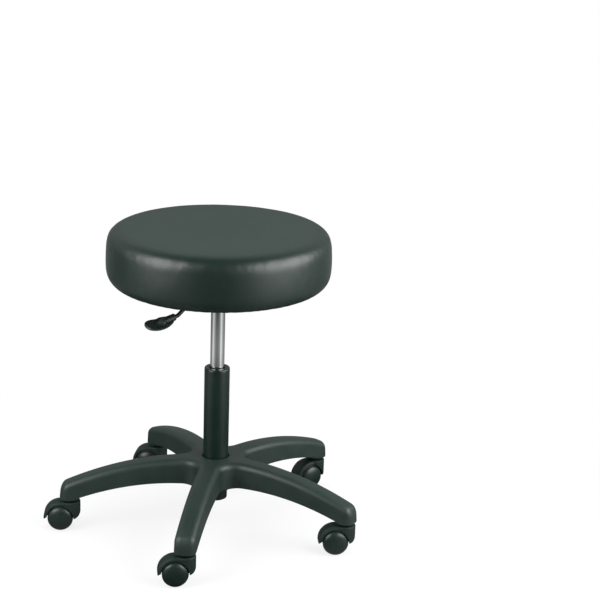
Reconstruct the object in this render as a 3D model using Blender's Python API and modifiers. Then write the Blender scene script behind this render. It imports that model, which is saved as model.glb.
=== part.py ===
"""Rolling task stool: a round padded seat on a gas lift, over a five-arm moulded base on twin-wheel casters.

Metres, +Z up. The origin is on the floor under the column, and the first arm points along -Y.
Heights are measured from the floor. A profile is a list of (radius, height) points.
"""

import math

import bmesh
import bpy
from mathutils import Matrix, Vector

MM = 0.001

# Clearances
FIT_GAP = 0.3 * MM  # between pieces that stay together
RUN_GAP = 0.4 * MM  # between a turning or sliding piece and its bore
CUT_OVER = 2 * MM  # how far a cutter runs past the face that it opens
WELD = 1 * MM  # how deep a welded or moulded-on piece runs into its neighbour

# Facets round a full turn
SEAT_STEPS = 32
COLUMN_STEPS = 24
SMALL_STEPS = 12
WHEEL_STEPS = 18

# Facets along one rounded corner or sweep
EDGE_STEPS = 3
BEND_STEPS = 4
SWEEP_STEPS = 10
ARM_STATIONS = 7

# Seat cushion
SEAT_RADIUS = 218 * MM
SEAT_TOP = 610 * MM
SEAT_THICKNESS = 112 * MM
SEAT_CROWN = 3 * MM
SEAT_FLAT_RADIUS = 70 * MM
TOP_EDGE_RADIUS = 16 * MM
BOTTOM_EDGE_RADIUS = 30 * MM
SIDE_BULGE = 3 * MM
COVER_THICKNESS = 1.5 * MM
HEM_WIDTH = 30 * MM
BOARD_THICKNESS = 15 * MM

# Seat plate, its channel and its socket
PLATE_SIDE = 165 * MM
PLATE_THICKNESS = 3 * MM
PLATE_CORNER = 20 * MM
CHANNEL_WIDTH = 40 * MM
CHANNEL_DEPTH = 18 * MM
CHANNEL_WALL = 2.5 * MM
CHANNEL_BACK = 35 * MM
CHANNEL_FRONT = 50 * MM
SOCKET_RADIUS = 19 * MM
SOCKET_DEPTH = 28 * MM
BOLT_SPREAD = 124 * MM
BOLT_RADIUS = 3 * MM
BOLT_SIDES = 6
BOLT_HEAD_RADIUS = 5.8 * MM
BOLT_HEAD_HEIGHT = 4 * MM
TEE_FLANGE_RADIUS = 9 * MM
TEE_FLANGE_THICKNESS = 1.5 * MM
TEE_BARREL_WALL = 1.2 * MM
TEE_BARREL_DEPTH = 9 * MM

# Gas lift
TUBE_RADIUS = 25 * MM
TUBE_WALL = 2 * MM
TUBE_TOP = 324 * MM
TUBE_BOTTOM = 54 * MM
TUBE_END_THICKNESS = 3 * MM
TAPER_TOP = 170 * MM
TAPER_SLOPE = 0.0125
GUIDE_LENGTH = 81 * MM
GUIDE_COLLAR = 4 * MM
GUIDE_ROUND = 3 * MM
CYLINDER_RADIUS = 14 * MM
CYLINDER_WALL = 1.5 * MM
CYLINDER_BOTTOM = 205 * MM
CYLINDER_CAP = 12 * MM
CYLINDER_PROUD = 3 * MM
SOCKET_SLOPE = 0.02
GLAND_LENGTH = 13 * MM
PISTON_LENGTH = 12 * MM
LIFT_RAISE = 10 * MM
ROD_RADIUS = 5 * MM
SPIGOT_RADIUS = 4 * MM
GROOVE_RADIUS = 3 * MM
ROD_END_LENGTH = 3 * MM
CLIP_RADIUS = 9 * MM
CLIP_THICKNESS = 2.2 * MM
RACE_RADIUS = 12 * MM
RACE_THICKNESS = 1.5 * MM
BEARING_RADIUS = 11.5 * MM
BEARING_THICKNESS = 4 * MM
BUMPER_RADIUS = 12 * MM
BUMPER_HEIGHT = 14 * MM

# Release button and lever
BUTTON_RADIUS = 3 * MM
BUTTON_PROUD = 5 * MM
BUTTON_DOME = 1.2 * MM
BUTTON_FLANGE_RADIUS = 5 * MM
BUTTON_FLANGE_THICKNESS = 3 * MM
LEVER_ANGLE = math.radians(227)
LEVER_RADIUS = 4 * MM
LEVER_PIVOT_REACH = 34 * MM
LEVER_BOSS_RADIUS = 6.5 * MM
LEVER_SIDE_PLAY = 1 * MM
LEVER_BEND_RADIUS = 12 * MM
LEVER_BEND_REACH = 46 * MM
LEVER_LEAD = 8 * MM  # from the lower bend's corner to the grip
LEVER_DROP = 37 * MM
TONGUE_THICKNESS = 3 * MM
TONGUE_WIDTH = 9 * MM
TONGUE_OVERHANG = 6 * MM
PIN_RADIUS = 2.5 * MM
PIN_HEAD_RADIUS = 4.5 * MM
PIN_HEAD_THICKNESS = 1.5 * MM
GRIP_START = 103.5 * MM
GRIP_LENGTH = 65 * MM
GRIP_PITCH = math.radians(10)  # the grip points down a little
GRIP_ROLL = math.radians(-13)  # and leans its dish outward
GRIP_WIDTH = 40 * MM
GRIP_THICKNESS = 8 * MM
GRIP_NECK_RADIUS = 7 * MM
GRIP_ROOT_HALF_WIDTH = 9.5 * MM
GRIP_NECK_LENGTH = 34 * MM
GRIP_SHOULDER = math.radians(65)
GRIP_BORE_DEPTH = 24 * MM
GRIP_DISH_DEPTH = 2.5 * MM
GRIP_RIM = 3.5 * MM
GRIP_ROUND = 2.5 * MM

# Five-arm base
ARM_COUNT = 5
FIRST_ARM = math.radians(-90)
STEM_CIRCLE = 287.6 * MM
ARM_RISE = 80.5 * MM  # of the hub's top over the underside of the arm ends
ARM_TOP_FLAT = 70 * MM
ARM_TIP_RISE = 39 * MM
ARM_UNDER_RISE = 33 * MM
ARM_UNDER_CREST = 110 * MM
ARM_UNDER_TIP_RISE = 2.1 * MM
ARM_ROOT_HALF_WIDTH = 23 * MM
ARM_TIP_HALF_WIDTH = 20 * MM
ARM_DRAFT = 0.8 * MM
ARM_SHOULDER = 13 * MM
ARM_FILLET = 30 * MM
ARM_WALL = 4 * MM
RIB_THICKNESS = 3 * MM
POCKET_COUNT = 4
TIP_LIP = 2.5 * MM
TIP_BOSS_RADIUS = 19 * MM
TIP_WALL = 0.6 * MM
TIP_CORNER = 15 * MM
TIP_ROUND = 11 * MM
HUB_CORE = 37 * MM
HUB_SLEEVE_RADIUS = 28.5 * MM
HUB_SLEEVE_RISE = 10.5 * MM
HUB_RECESS_RADIUS = 31 * MM
HUB_RECESS_DEPTH = 5 * MM

# Casters
CASTER_TURNS = (195, 193, 224, 182, 191)  # degrees from +X that each caster trails towards
WHEEL_RADIUS = 25 * MM
WHEEL_HUB_RADIUS = 7 * MM
WHEEL_RIM = 3 * MM
WHEEL_TREAD = 6 * MM
WHEEL_DOME = 11 * MM
WHEEL_CROWN = 7 * MM  # thickness of the dome where it meets the hub
WHEEL_CAP = 5 * MM  # thickness of the dome over the end of the axle
WHEEL_LEANS = (40, 70)  # degrees down the dome from its middle
CASTER_TRAIL = 19 * MM
HOOD_WALL = 6.7 * MM
HOOD_RISE = 0.5 * MM
HOOD_WIDTH = 32 * MM
HOOD_REAR_ROUND = 8 * MM
HOOD_NOSE_RADIUS = 20 * MM
HOOD_WEB = 17 * MM
HOOD_NOSE_BOTTOM = 25 * MM
HOOD_NOSE_ROUND = 12 * MM
HOOD_AXLE_BOSS = 10 * MM
HOOD_LIP_LOW = math.radians(3)
HOOD_LIP_HIGH = math.radians(8)
WHEEL_WELL_GAP = 1.3 * MM
AXLE_RADIUS = 3 * MM
STEM_RADIUS = 5.5 * MM
STEM_LENGTH_UP = 24 * MM
STEM_LENGTH_DOWN = 28 * MM
STEM_FLANGE_RADIUS = 9 * MM
STEM_FLANGE_THICKNESS = 3.4 * MM
RING_WIRE = 0.6 * MM
RING_GROOVE = 0.9 * MM
RING_DEPTH = 6 * MM  # below the top of the stem

# Levels and radii that follow from the sizes above
SEAT_BOTTOM = SEAT_TOP - SEAT_THICKNESS
BOARD_BOTTOM = SEAT_BOTTOM + COVER_THICKNESS + FIT_GAP
BOARD_TOP = BOARD_BOTTOM + BOARD_THICKNESS
BOARD_RADIUS = SEAT_RADIUS - SIDE_BULGE - BOTTOM_EDGE_RADIUS
PLATE_TOP = BOARD_BOTTOM - FIT_GAP
PLATE_BOTTOM = PLATE_TOP - PLATE_THICKNESS
CHANNEL_FLOOR = PLATE_BOTTOM - CHANNEL_DEPTH
SOCKET_BOTTOM = CHANNEL_FLOOR - CHANNEL_WALL - SOCKET_DEPTH
CYLINDER_TOP = CHANNEL_FLOOR + CYLINDER_PROUD
BUTTON_TOP = CYLINDER_TOP + BUTTON_PROUD
TONGUE_BOTTOM = BUTTON_TOP + FIT_GAP
PIVOT_HEIGHT = TONGUE_BOTTOM
RACE_LOWER_BOTTOM = TUBE_BOTTOM + TUBE_END_THICKNESS + FIT_GAP
BEARING_BOTTOM = RACE_LOWER_BOTTOM + RACE_THICKNESS + FIT_GAP
RACE_UPPER_BOTTOM = BEARING_BOTTOM + BEARING_THICKNESS + FIT_GAP
ROD_SHOULDER = RACE_UPPER_BOTTOM + RACE_THICKNESS + FIT_GAP
CLIP_BOTTOM = TUBE_BOTTOM - FIT_GAP - CLIP_THICKNESS
PISTON_BOTTOM = CYLINDER_BOTTOM + GLAND_LENGTH + LIFT_RAISE + RUN_GAP
HOOD_RADIUS = WHEEL_RADIUS + WHEEL_WELL_GAP + HOOD_WALL
HOOD_TOP = WHEEL_RADIUS + HOOD_RADIUS + HOOD_RISE
TIP_BOTTOM = HOOD_TOP + STEM_FLANGE_THICKNESS + 2 * FIT_GAP
STEM_BOTTOM = HOOD_TOP - STEM_LENGTH_DOWN
STEM_TOP = TIP_BOTTOM + STEM_LENGTH_UP
ARM_STEP = 2 * math.pi / ARM_COUNT
TIP_END = STEM_CIRCLE + TIP_BOSS_RADIUS + TIP_WALL
ARM_TOP = TIP_BOTTOM + ARM_RISE
ARM_UNDER = TIP_BOTTOM + ARM_UNDER_RISE
HUB_SLEEVE_BOTTOM = TIP_BOTTOM + HUB_SLEEVE_RISE

PARTS = bpy.data.collections.new("rolling_task_stool")
CUTTERS = bpy.data.collections.new("cutters")


def start_scene():
    """Empty the scene and give it one collection for the parts and one for the cutters."""
    for obj in list(bpy.data.objects):
        bpy.data.objects.remove(obj, do_unlink=True)
    bpy.context.scene.collection.children.link(PARTS)
    bpy.context.scene.collection.children.link(CUTTERS)


def make_material(name, color, roughness, metallic=0.0):
    """Return a Principled material."""
    mat = bpy.data.materials.new(name)
    mat.use_nodes = True
    shader = mat.node_tree.nodes["Principled BSDF"]
    shader.inputs["Base Color"].default_value = (*color, 1.0)
    shader.inputs["Roughness"].default_value = roughness
    shader.inputs["Metallic"].default_value = metallic
    return mat


def make_materials():
    """Return every material by name."""
    return {
        "vinyl": make_material("black_vinyl", (0.006, 0.019, 0.015), 0.42),
        "foam": make_material("cushion_foam", (0.72, 0.66, 0.45), 0.95),
        "wood": make_material("black_stained_plywood", (0.045, 0.040, 0.034), 0.75),
        "black_steel": make_material("black_coated_steel", (0.005, 0.015, 0.012), 0.45, 0.2),
        "plated": make_material("plated_steel", (0.62, 0.63, 0.62), 0.16, 1.0),
        "zinc": make_material("zinc_plated_steel", (0.55, 0.56, 0.57), 0.35, 1.0),
        "base_nylon": make_material("base_nylon", (0.015, 0.030, 0.025), 0.52),
        "caster_nylon": make_material("caster_nylon", (0.013, 0.022, 0.019), 0.45),
        "wheel_nylon": make_material("wheel_nylon", (0.006, 0.014, 0.011), 0.33),
        "grip_plastic": make_material("grip_plastic", (0.008, 0.013, 0.011), 0.40),
        "guide_plastic": make_material("guide_plastic", (0.008, 0.015, 0.013), 0.50),
        "rubber": make_material("black_rubber", (0.02, 0.02, 0.02), 0.85),
        "button_metal": make_material("button_steel", (0.48, 0.47, 0.44), 0.30, 1.0),
    }


def place(obj, collection, parent=None, location=(0, 0, 0), rotation=(0, 0, 0)):
    """Link an object, place it and hang it on its parent."""
    collection.objects.link(obj)
    obj.location = location
    obj.rotation_euler = rotation
    obj.parent = parent
    return obj


def part(obj, mat, parent=None, location=(0, 0, 0), rotation=(0, 0, 0)):
    """Add a finished piece to the stool."""
    obj.data.materials.append(mat)
    return place(obj, PARTS, parent, location, rotation)


def empty(name, parent=None, location=(0, 0, 0), rotation=(0, 0, 0)):
    """Add an empty that carries the pieces of one moving body."""
    return place(bpy.data.objects.new(name, None), PARTS, parent, location, rotation)


def flat_radius(radius, steps):
    """Corner radius of a polygon whose flats lie at the given radius."""
    return radius / math.cos(math.pi / steps)


def mesh_object(name, bm):
    """Return a smooth-shaded object made from a bmesh."""
    bmesh.ops.recalc_face_normals(bm, faces=bm.faces[:])
    mesh = bpy.data.meshes.new(name)
    bm.to_mesh(mesh)
    bm.free()
    mesh.shade_smooth()
    mesh.set_sharp_from_angle(angle=math.radians(40))
    return bpy.data.objects.new(name, mesh)


def turned(name, profile, steps):
    """Return a profile spun round Z. It closes itself unless it ends on the axis."""
    edges = [(i, i + 1) for i in range(len(profile) - 1)]
    if profile[0][0] > 0:
        edges.append((len(profile) - 1, 0))
    mesh = bpy.data.meshes.new(name)
    mesh.from_pydata([(radius, 0, height) for radius, height in profile], edges, [])
    obj = bpy.data.objects.new(name, mesh)
    screw = obj.modifiers.new("turn", "SCREW")
    screw.steps = steps
    screw.render_steps = steps
    screw.use_merge_vertices = True
    screw.merge_threshold = 0.00001
    return obj


def ring(name, outer, inner, bottom, top, steps):
    """Return a plain ring."""
    return turned(name, [(inner, top), (outer, top), (outer, bottom), (inner, bottom)], steps)


def rod_profile(radius, bottom, top):
    """Profile of a plain round bar."""
    return [(0, top), (radius, top), (radius, bottom), (0, bottom)]


def box(name, low, high):
    """Return a box between two corners."""
    size = [b - a for a, b in zip(low, high)]
    middle = [(a + b) / 2 for a, b in zip(low, high)]
    bm = bmesh.new()
    bmesh.ops.create_cube(bm, size=1, matrix=Matrix.Translation(middle) @ Matrix.Diagonal((*size, 1)))
    return mesh_object(name, bm)


def bars(name, centres, radius, bottom, top, steps):
    """Return upright round bars, one at each (x, y) centre."""
    bm = bmesh.new()
    for x, y in centres:
        bmesh.ops.create_cone(
            bm,
            cap_ends=True,
            segments=steps,
            radius1=radius,
            radius2=radius,
            depth=top - bottom,
            matrix=Matrix.Translation((x, y, (bottom + top) / 2)),
        )
    return mesh_object(name, bm)


def cross_bar(name, radius, length, steps, x, z):
    """Return a round bar along Y through (x, z)."""
    bm = bmesh.new()
    turn = Matrix.Rotation(math.pi / 2, 4, "X")
    bmesh.ops.create_cone(
        bm,
        cap_ends=True,
        segments=steps,
        radius1=radius,
        radius2=radius,
        depth=length,
        matrix=Matrix.Translation((x, 0, z)) @ turn,
    )
    return mesh_object(name, bm)


def curve_mesh(name, curve):
    """Return a curve as a closed mesh object."""
    guide = place(bpy.data.objects.new(name, curve), CUTTERS)
    bpy.context.view_layer.update()
    mesh = bpy.data.meshes.new_from_object(guide.evaluated_get(bpy.context.evaluated_depsgraph_get()))
    bpy.data.objects.remove(guide)
    bm = bmesh.new()
    bm.from_mesh(mesh)
    bpy.data.meshes.remove(mesh)
    bmesh.ops.remove_doubles(bm, verts=bm.verts[:], dist=0.00001)
    return mesh_object(name, bm)


def add_spline(curve, points, cyclic):
    """Add a polyline to a curve."""
    spline = curve.splines.new("POLY")
    spline.points.add(len(points) - 1)
    for knot, point in zip(spline.points, points):
        knot.co = (*point, *([0] * (3 - len(point))), 1)
    spline.use_cyclic_u = cyclic


def slab(name, outline, bottom, top, rounding=0.0):
    """Return a flat outline of (x, y) points, extruded upright, with its rims rounded."""
    curve = bpy.data.curves.new(name, "CURVE")
    curve.dimensions = "2D"
    curve.fill_mode = "BOTH"
    curve.extrude = (top - bottom) / 2 - rounding
    curve.bevel_depth = rounding
    curve.bevel_resolution = 1
    curve.offset = -rounding
    add_spline(curve, outline, True)
    obj = curve_mesh(name, curve)
    obj.data.transform(Matrix.Translation((0, 0, (bottom + top) / 2)))
    return obj


def tube_along(name, points, radius):
    """Return a round bar along a path."""
    curve = bpy.data.curves.new(name, "CURVE")
    curve.dimensions = "3D"
    curve.bevel_depth = radius
    curve.bevel_resolution = 2
    curve.use_fill_caps = True
    add_spline(curve, points, False)
    return curve_mesh(name, curve)


def boolean(obj, other, operation):
    """Cut, join or intersect an object with a helper, which stays out of the model."""
    if not other.users_collection:
        place(other, CUTTERS, obj.parent)
    other.hide_render = True
    other.display_type = "WIRE"
    modifier = obj.modifiers.new(other.name, "BOOLEAN")
    modifier.operation = operation
    modifier.solver = "EXACT"
    modifier.object = other


def arc(centre, radius, start, end, steps):
    """Points of an arc between two angles, both ends included."""
    angles = [start + (end - start) * i / steps for i in range(steps + 1)]
    return [(centre[0] + radius * math.cos(a), centre[1] + radius * math.sin(a)) for a in angles]


def around(count, radius, start=0.0):
    """Points spread evenly round a circle."""
    angles = [start + 2 * math.pi * i / count for i in range(count)]
    return [(radius * math.cos(a), radius * math.sin(a)) for a in angles]


def loft(bm, sections):
    """Skin a row of sections with equally many points, and close both ends."""
    rows = [[bm.verts.new(point) for point in section] for section in sections]
    for row, following in zip(rows, rows[1:]):
        for i in range(len(row)):
            j = (i + 1) % len(row)
            bm.faces.new((row[i], row[j], following[j], following[i]))
    bm.faces.new(rows[0])
    bm.faces.new(rows[-1])


def seat_profile(inset):
    """Outside of the cushion, from the middle of its top round to its underside, drawn in by the inset."""
    edge = SEAT_RADIUS - SIDE_BULGE
    rim = edge - TOP_EDGE_RADIUS
    points = [(0, SEAT_TOP - inset)]
    for share in (0, 0.5):
        radius = SEAT_FLAT_RADIUS + (rim - SEAT_FLAT_RADIUS) * share
        points.append((radius, SEAT_TOP - inset - SEAT_CROWN * share**2))
    upper = SEAT_TOP - SEAT_CROWN - TOP_EDGE_RADIUS
    lower = SEAT_BOTTOM + BOTTOM_EDGE_RADIUS
    points += arc((rim, upper), TOP_EDGE_RADIUS - inset, math.pi / 2, 0, EDGE_STEPS)
    for share in (0.25, 0.5, 0.75):
        bulge = SIDE_BULGE * math.sin(math.pi * share)
        points.append((edge + bulge - inset, upper + (lower - upper) * share))
    points += arc((BOARD_RADIUS, lower), BOTTOM_EDGE_RADIUS - inset, 0, -math.pi / 2, BEND_STEPS)
    return points


def bolt_places():
    """Centres of the four seat bolts."""
    half = BOLT_SPREAD / 2
    return [(x, y) for x in (-half, half) for y in (-half, half)]


def make_cushion(mats, seat):
    """Cover, foam and board of the seat."""
    hem = BOARD_RADIUS - HEM_WIDTH
    outside = seat_profile(0)
    inside = seat_profile(COVER_THICKNESS)
    hem_line = [(hem, SEAT_BOTTOM), (hem, SEAT_BOTTOM + COVER_THICKNESS)]
    part(turned("seat_cover", outside + hem_line + inside[::-1], SEAT_STEPS), mats["vinyl"], seat)

    skin = COVER_THICKNESS + FIT_GAP
    recess = BOARD_RADIUS + FIT_GAP
    outer = [point for point in seat_profile(skin) if point[0] > recess or point[1] > BOARD_TOP]
    lower = SEAT_BOTTOM + BOTTOM_EDGE_RADIUS
    lowest = lower - math.sqrt((BOTTOM_EDGE_RADIUS - skin) ** 2 - FIT_GAP**2)
    under = [(recess, lowest), (recess, BOARD_TOP + FIT_GAP), (0, BOARD_TOP + FIT_GAP)]
    part(turned("seat_foam", outer + under, SEAT_STEPS), mats["foam"], seat)

    board = turned("seat_board", rod_profile(BOARD_RADIUS, BOARD_BOTTOM, BOARD_TOP), SEAT_STEPS)
    part(board, mats["wood"], seat)
    barrel = flat_radius(BOLT_RADIUS + RUN_GAP, SMALL_STEPS) + TEE_BARREL_WALL + FIT_GAP
    low = BOARD_BOTTOM - CUT_OVER
    holes = bars("tee_holes", bolt_places(), barrel, low, BOARD_TOP + CUT_OVER, SMALL_STEPS)
    boolean(board, holes, "DIFFERENCE")
    seats_at = BOARD_TOP - TEE_FLANGE_THICKNESS - FIT_GAP
    flange = TEE_FLANGE_RADIUS + FIT_GAP
    flanges = bars("tee_flanges", bolt_places(), flange, seats_at, BOARD_TOP + CUT_OVER, SMALL_STEPS)
    boolean(board, flanges, "DIFFERENCE")


def make_seat_fasteners(mats, seat):
    """Bolts up through the plate, and the tee nuts in the board that they screw into."""
    shank_top = BOARD_TOP - TEE_FLANGE_THICKNESS
    bore = flat_radius(BOLT_RADIUS + FIT_GAP, SMALL_STEPS)
    barrel = flat_radius(BOLT_RADIUS + RUN_GAP, SMALL_STEPS) + TEE_BARREL_WALL
    flange_bottom = BOARD_TOP - TEE_FLANGE_THICKNESS
    head_top = PLATE_BOTTOM - FIT_GAP
    for number, (x, y) in enumerate(bolt_places(), 1):
        head_low = head_top - BOLT_HEAD_HEIGHT
        head = bars(f"seat_bolt_{number}", [(0, 0)], BOLT_HEAD_RADIUS, head_low, head_top, BOLT_SIDES)
        part(head, mats["zinc"], seat, (x, y, 0))
        shank = bars(f"shank_{number}", [(0, 0)], BOLT_RADIUS, head_top - WELD, shank_top, SMALL_STEPS)
        place(shank, CUTTERS, seat, (x, y, 0))
        boolean(head, shank, "UNION")
        nut_profile = [
            (bore, BOARD_TOP),
            (TEE_FLANGE_RADIUS, BOARD_TOP),
            (TEE_FLANGE_RADIUS, flange_bottom),
            (barrel, flange_bottom),
            (barrel, flange_bottom - TEE_BARREL_DEPTH),
            (bore, flange_bottom - TEE_BARREL_DEPTH),
        ]
        part(turned(f"tee_nut_{number}", nut_profile, SMALL_STEPS), mats["zinc"], seat, (x, y, 0))


def cylinder_radius(height):
    """Outside of the gas cylinder, which tapers inside the seat socket."""
    return CYLINDER_RADIUS - SOCKET_SLOPE * max(0.0, height - SOCKET_BOTTOM)


def rounded_square(side, corner):
    """Outline of a square with round corners, centred on the origin."""
    middle = side / 2 - corner
    outline = []
    for quarter, (x, y) in enumerate(((1, 1), (-1, 1), (-1, -1), (1, -1))):
        start = quarter * math.pi / 2
        outline += arc((x * middle, y * middle), corner, start, start + math.pi / 2, EDGE_STEPS)
    return outline


def make_seat_plate(mats, seat):
    """Steel plate with the lever channel and the tapered socket welded under it."""
    plate = slab("seat_plate", rounded_square(PLATE_SIDE, PLATE_CORNER), PLATE_BOTTOM, PLATE_TOP)
    part(plate, mats["black_steel"], seat)

    half = CHANNEL_WIDTH / 2
    inner = half - CHANNEL_WALL
    floor = CHANNEL_FLOOR - CHANNEL_WALL
    channel = box("channel", (-CHANNEL_BACK, -half, floor), (CHANNEL_FRONT, half, PLATE_BOTTOM + WELD))
    place(channel, CUTTERS, seat)
    hollow_low = (-CHANNEL_BACK + CHANNEL_WALL, -inner, CHANNEL_FLOOR)
    hollow = box("channel_hollow", hollow_low, (CHANNEL_FRONT + CUT_OVER, inner, PLATE_TOP + CUT_OVER))
    boolean(channel, hollow, "DIFFERENCE")
    boolean(plate, channel, "UNION")

    socket = bars("socket", [(0, 0)], SOCKET_RADIUS, SOCKET_BOTTOM, CHANNEL_FLOOR - WELD, COLUMN_STEPS)
    boolean(plate, socket, "UNION")
    low = SOCKET_BOTTOM - CUT_OVER
    high = CHANNEL_FLOOR + CUT_OVER
    bore = [
        (0, high),
        (cylinder_radius(high) + FIT_GAP, high),
        (cylinder_radius(SOCKET_BOTTOM) + FIT_GAP, SOCKET_BOTTOM),
        (cylinder_radius(low) + FIT_GAP, low),
        (0, low),
    ]
    boolean(plate, turned("socket_bore", bore, COLUMN_STEPS), "DIFFERENCE")
    ear_hole = flat_radius(PIN_RADIUS + FIT_GAP, SMALL_STEPS)
    across = CHANNEL_WIDTH + CUT_OVER
    ears = cross_bar("ear_holes", ear_hole, across, SMALL_STEPS, LEVER_PIVOT_REACH, PIVOT_HEIGHT)
    boolean(plate, ears, "DIFFERENCE")
    clearance = flat_radius(BOLT_RADIUS + FIT_GAP, SMALL_STEPS)
    holes = bars(
        "bolt_holes", bolt_places(), clearance, PLATE_BOTTOM - CUT_OVER, PLATE_TOP + CUT_OVER, SMALL_STEPS
    )
    boolean(plate, holes, "DIFFERENCE")


def make_gas_cylinder(mats, seat):
    """Pressure tube of the gas lift, the gland in its foot and the release button in its top."""
    bore = CYLINDER_RADIUS - CYLINDER_WALL
    ceiling = CYLINDER_TOP - CYLINDER_CAP
    valve = flat_radius(BUTTON_RADIUS + RUN_GAP, COLUMN_STEPS)
    profile = [
        (valve, CYLINDER_TOP),
        (cylinder_radius(CYLINDER_TOP), CYLINDER_TOP),
        (cylinder_radius(SOCKET_BOTTOM), SOCKET_BOTTOM),
        (CYLINDER_RADIUS, CYLINDER_BOTTOM),
        (bore, CYLINDER_BOTTOM),
        (bore, ceiling),
        (valve, ceiling),
    ]
    part(turned("gas_cylinder", profile, COLUMN_STEPS), mats["plated"], seat)

    rod_hole = flat_radius(ROD_RADIUS + RUN_GAP, SMALL_STEPS)
    gland_top = CYLINDER_BOTTOM + GLAND_LENGTH
    gland = ring("rod_gland", bore - FIT_GAP, rod_hole, CYLINDER_BOTTOM, gland_top, SMALL_STEPS)
    part(gland, mats["guide_plastic"], seat)

    flange_top = ceiling - FIT_GAP
    button = [
        (0, BUTTON_TOP),
        (BUTTON_RADIUS / 2, BUTTON_TOP - BUTTON_DOME / 4),
        (BUTTON_RADIUS, BUTTON_TOP - BUTTON_DOME),
        (BUTTON_RADIUS, flange_top),
        (BUTTON_FLANGE_RADIUS, flange_top),
        (BUTTON_FLANGE_RADIUS, flange_top - BUTTON_FLANGE_THICKNESS),
        (0, flange_top - BUTTON_FLANGE_THICKNESS),
    ]
    part(turned("release_button", button, SMALL_STEPS), mats["button_metal"], seat)


def rounded_path(points, radius, steps):
    """A path of straight runs in the XZ plane, with its corners turned on a radius."""
    path = [Vector(points[0])]
    for before, corner, after in zip(points, points[1:], points[2:]):
        corner = Vector(corner)
        back = (Vector(before) - corner).normalized()
        ahead = (Vector(after) - corner).normalized()
        half = back.angle(ahead) / 2
        run = radius / math.tan(half)
        centre = corner + (back + ahead).normalized() * radius / math.sin(half)
        first = (corner + back * run - centre).normalized()
        last = (corner + ahead * run - centre).normalized()
        path += [centre + radius * first.slerp(last, i / steps) for i in range(steps + 1)]
    path.append(Vector(points[-1]))
    return [(point.x, 0, point.y) for point in path]


def make_lever(mats, seat):
    """Lift lever: a bent rod on a pin in the channel, a flat tongue over the button and a paddle."""
    lever = empty("lever_axis", seat, (LEVER_PIVOT_REACH, 0, PIVOT_HEIGHT))
    low = -LEVER_DROP
    grip_at = GRIP_START - LEVER_PIVOT_REACH
    bend = LEVER_BEND_REACH - LEVER_PIVOT_REACH
    run_out = grip_at - LEVER_LEAD
    tongue_end = -LEVER_PIVOT_REACH - TONGUE_OVERHANG
    grip_height = low - LEVER_LEAD * math.tan(GRIP_PITCH)
    reach = GRIP_BORE_DEPTH * math.cos(GRIP_PITCH)
    rod_tip = (grip_at + reach, grip_height - reach * math.tan(GRIP_PITCH))
    route = [(-LEVER_BOSS_RADIUS / 2, 0), (bend, 0), (run_out, low), rod_tip]
    rod = tube_along("lever_rod", rounded_path(route, LEVER_BEND_RADIUS, BEND_STEPS), LEVER_RADIUS)
    part(rod, mats["black_steel"], lever)
    boss_width = CHANNEL_WIDTH - 2 * CHANNEL_WALL - 2 * LEVER_SIDE_PLAY
    boolean(rod, cross_bar("pivot_boss", LEVER_BOSS_RADIUS, boss_width, SMALL_STEPS, 0, 0), "UNION")
    half = TONGUE_WIDTH / 2
    tongue_low = (tongue_end, -half, 0)
    boolean(rod, box("tongue", tongue_low, (-LEVER_RADIUS, half, TONGUE_THICKNESS)), "UNION")
    pin_hole = flat_radius(PIN_RADIUS + RUN_GAP, SMALL_STEPS)
    boolean(rod, cross_bar("pin_hole", pin_hole, CHANNEL_WIDTH, SMALL_STEPS, 0, 0), "DIFFERENCE")

    head = CHANNEL_WIDTH / 2 + FIT_GAP
    pin_profile = [
        (0, head + PIN_HEAD_THICKNESS),
        (PIN_HEAD_RADIUS, head + PIN_HEAD_THICKNESS),
        (PIN_HEAD_RADIUS, head),
        (PIN_RADIUS, head),
        (PIN_RADIUS, -head - PIN_HEAD_THICKNESS),
        (0, -head - PIN_HEAD_THICKNESS),
    ]
    pin = turned("lever_pin", pin_profile, SMALL_STEPS)
    part(pin, mats["zinc"], seat, (LEVER_PIVOT_REACH, 0, PIVOT_HEIGHT), (math.pi / 2, 0, 0))

    make_grip(mats, empty("grip_frame", lever, (grip_at, 0, grip_height), (GRIP_ROLL, GRIP_PITCH, 0)))


def make_grip(mats, frame):
    """Paddle grip: a dished oval blade on a round neck with a blind bore for the rod."""
    blade_half = GRIP_WIDTH / 2
    tip = GRIP_LENGTH - blade_half
    root = GRIP_NECK_LENGTH / 3
    shoulder = blade_half * math.sin(GRIP_SHOULDER)
    outline = arc((tip, 0), blade_half, -math.pi / 2, math.pi / 2, SWEEP_STEPS)
    outline += [(GRIP_NECK_LENGTH, shoulder), (root, GRIP_ROOT_HALF_WIDTH)]
    outline += [(root, -GRIP_ROOT_HALF_WIDTH), (GRIP_NECK_LENGTH, -shoulder)]
    top = GRIP_THICKNESS / 2
    grip = slab("lever_grip", outline, -top, top, GRIP_ROUND)
    part(grip, mats["grip_plastic"], frame)

    along = (0, math.pi / 2, 0)
    neck = turned("grip_neck", rod_profile(GRIP_NECK_RADIUS, 0, GRIP_NECK_LENGTH), SMALL_STEPS)
    place(neck, CUTTERS, frame, (0, 0, 0), along)
    boolean(grip, neck, "UNION")
    dish_radius = blade_half - GRIP_RIM
    dish_profile = rod_profile(dish_radius, top - GRIP_DISH_DEPTH, GRIP_NECK_RADIUS + CUT_OVER)
    dish = turned("grip_dish", dish_profile, SMALL_STEPS)
    place(dish, CUTTERS, frame, (tip, 0, 0))
    boolean(grip, dish, "DIFFERENCE")
    bore = flat_radius(LEVER_RADIUS + FIT_GAP, SMALL_STEPS)
    hole = turned("grip_bore", rod_profile(bore, -CUT_OVER, GRIP_BORE_DEPTH + FIT_GAP), SMALL_STEPS)
    place(hole, CUTTERS, frame, (0, 0, 0), along)
    boolean(grip, hole, "DIFFERENCE")


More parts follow.
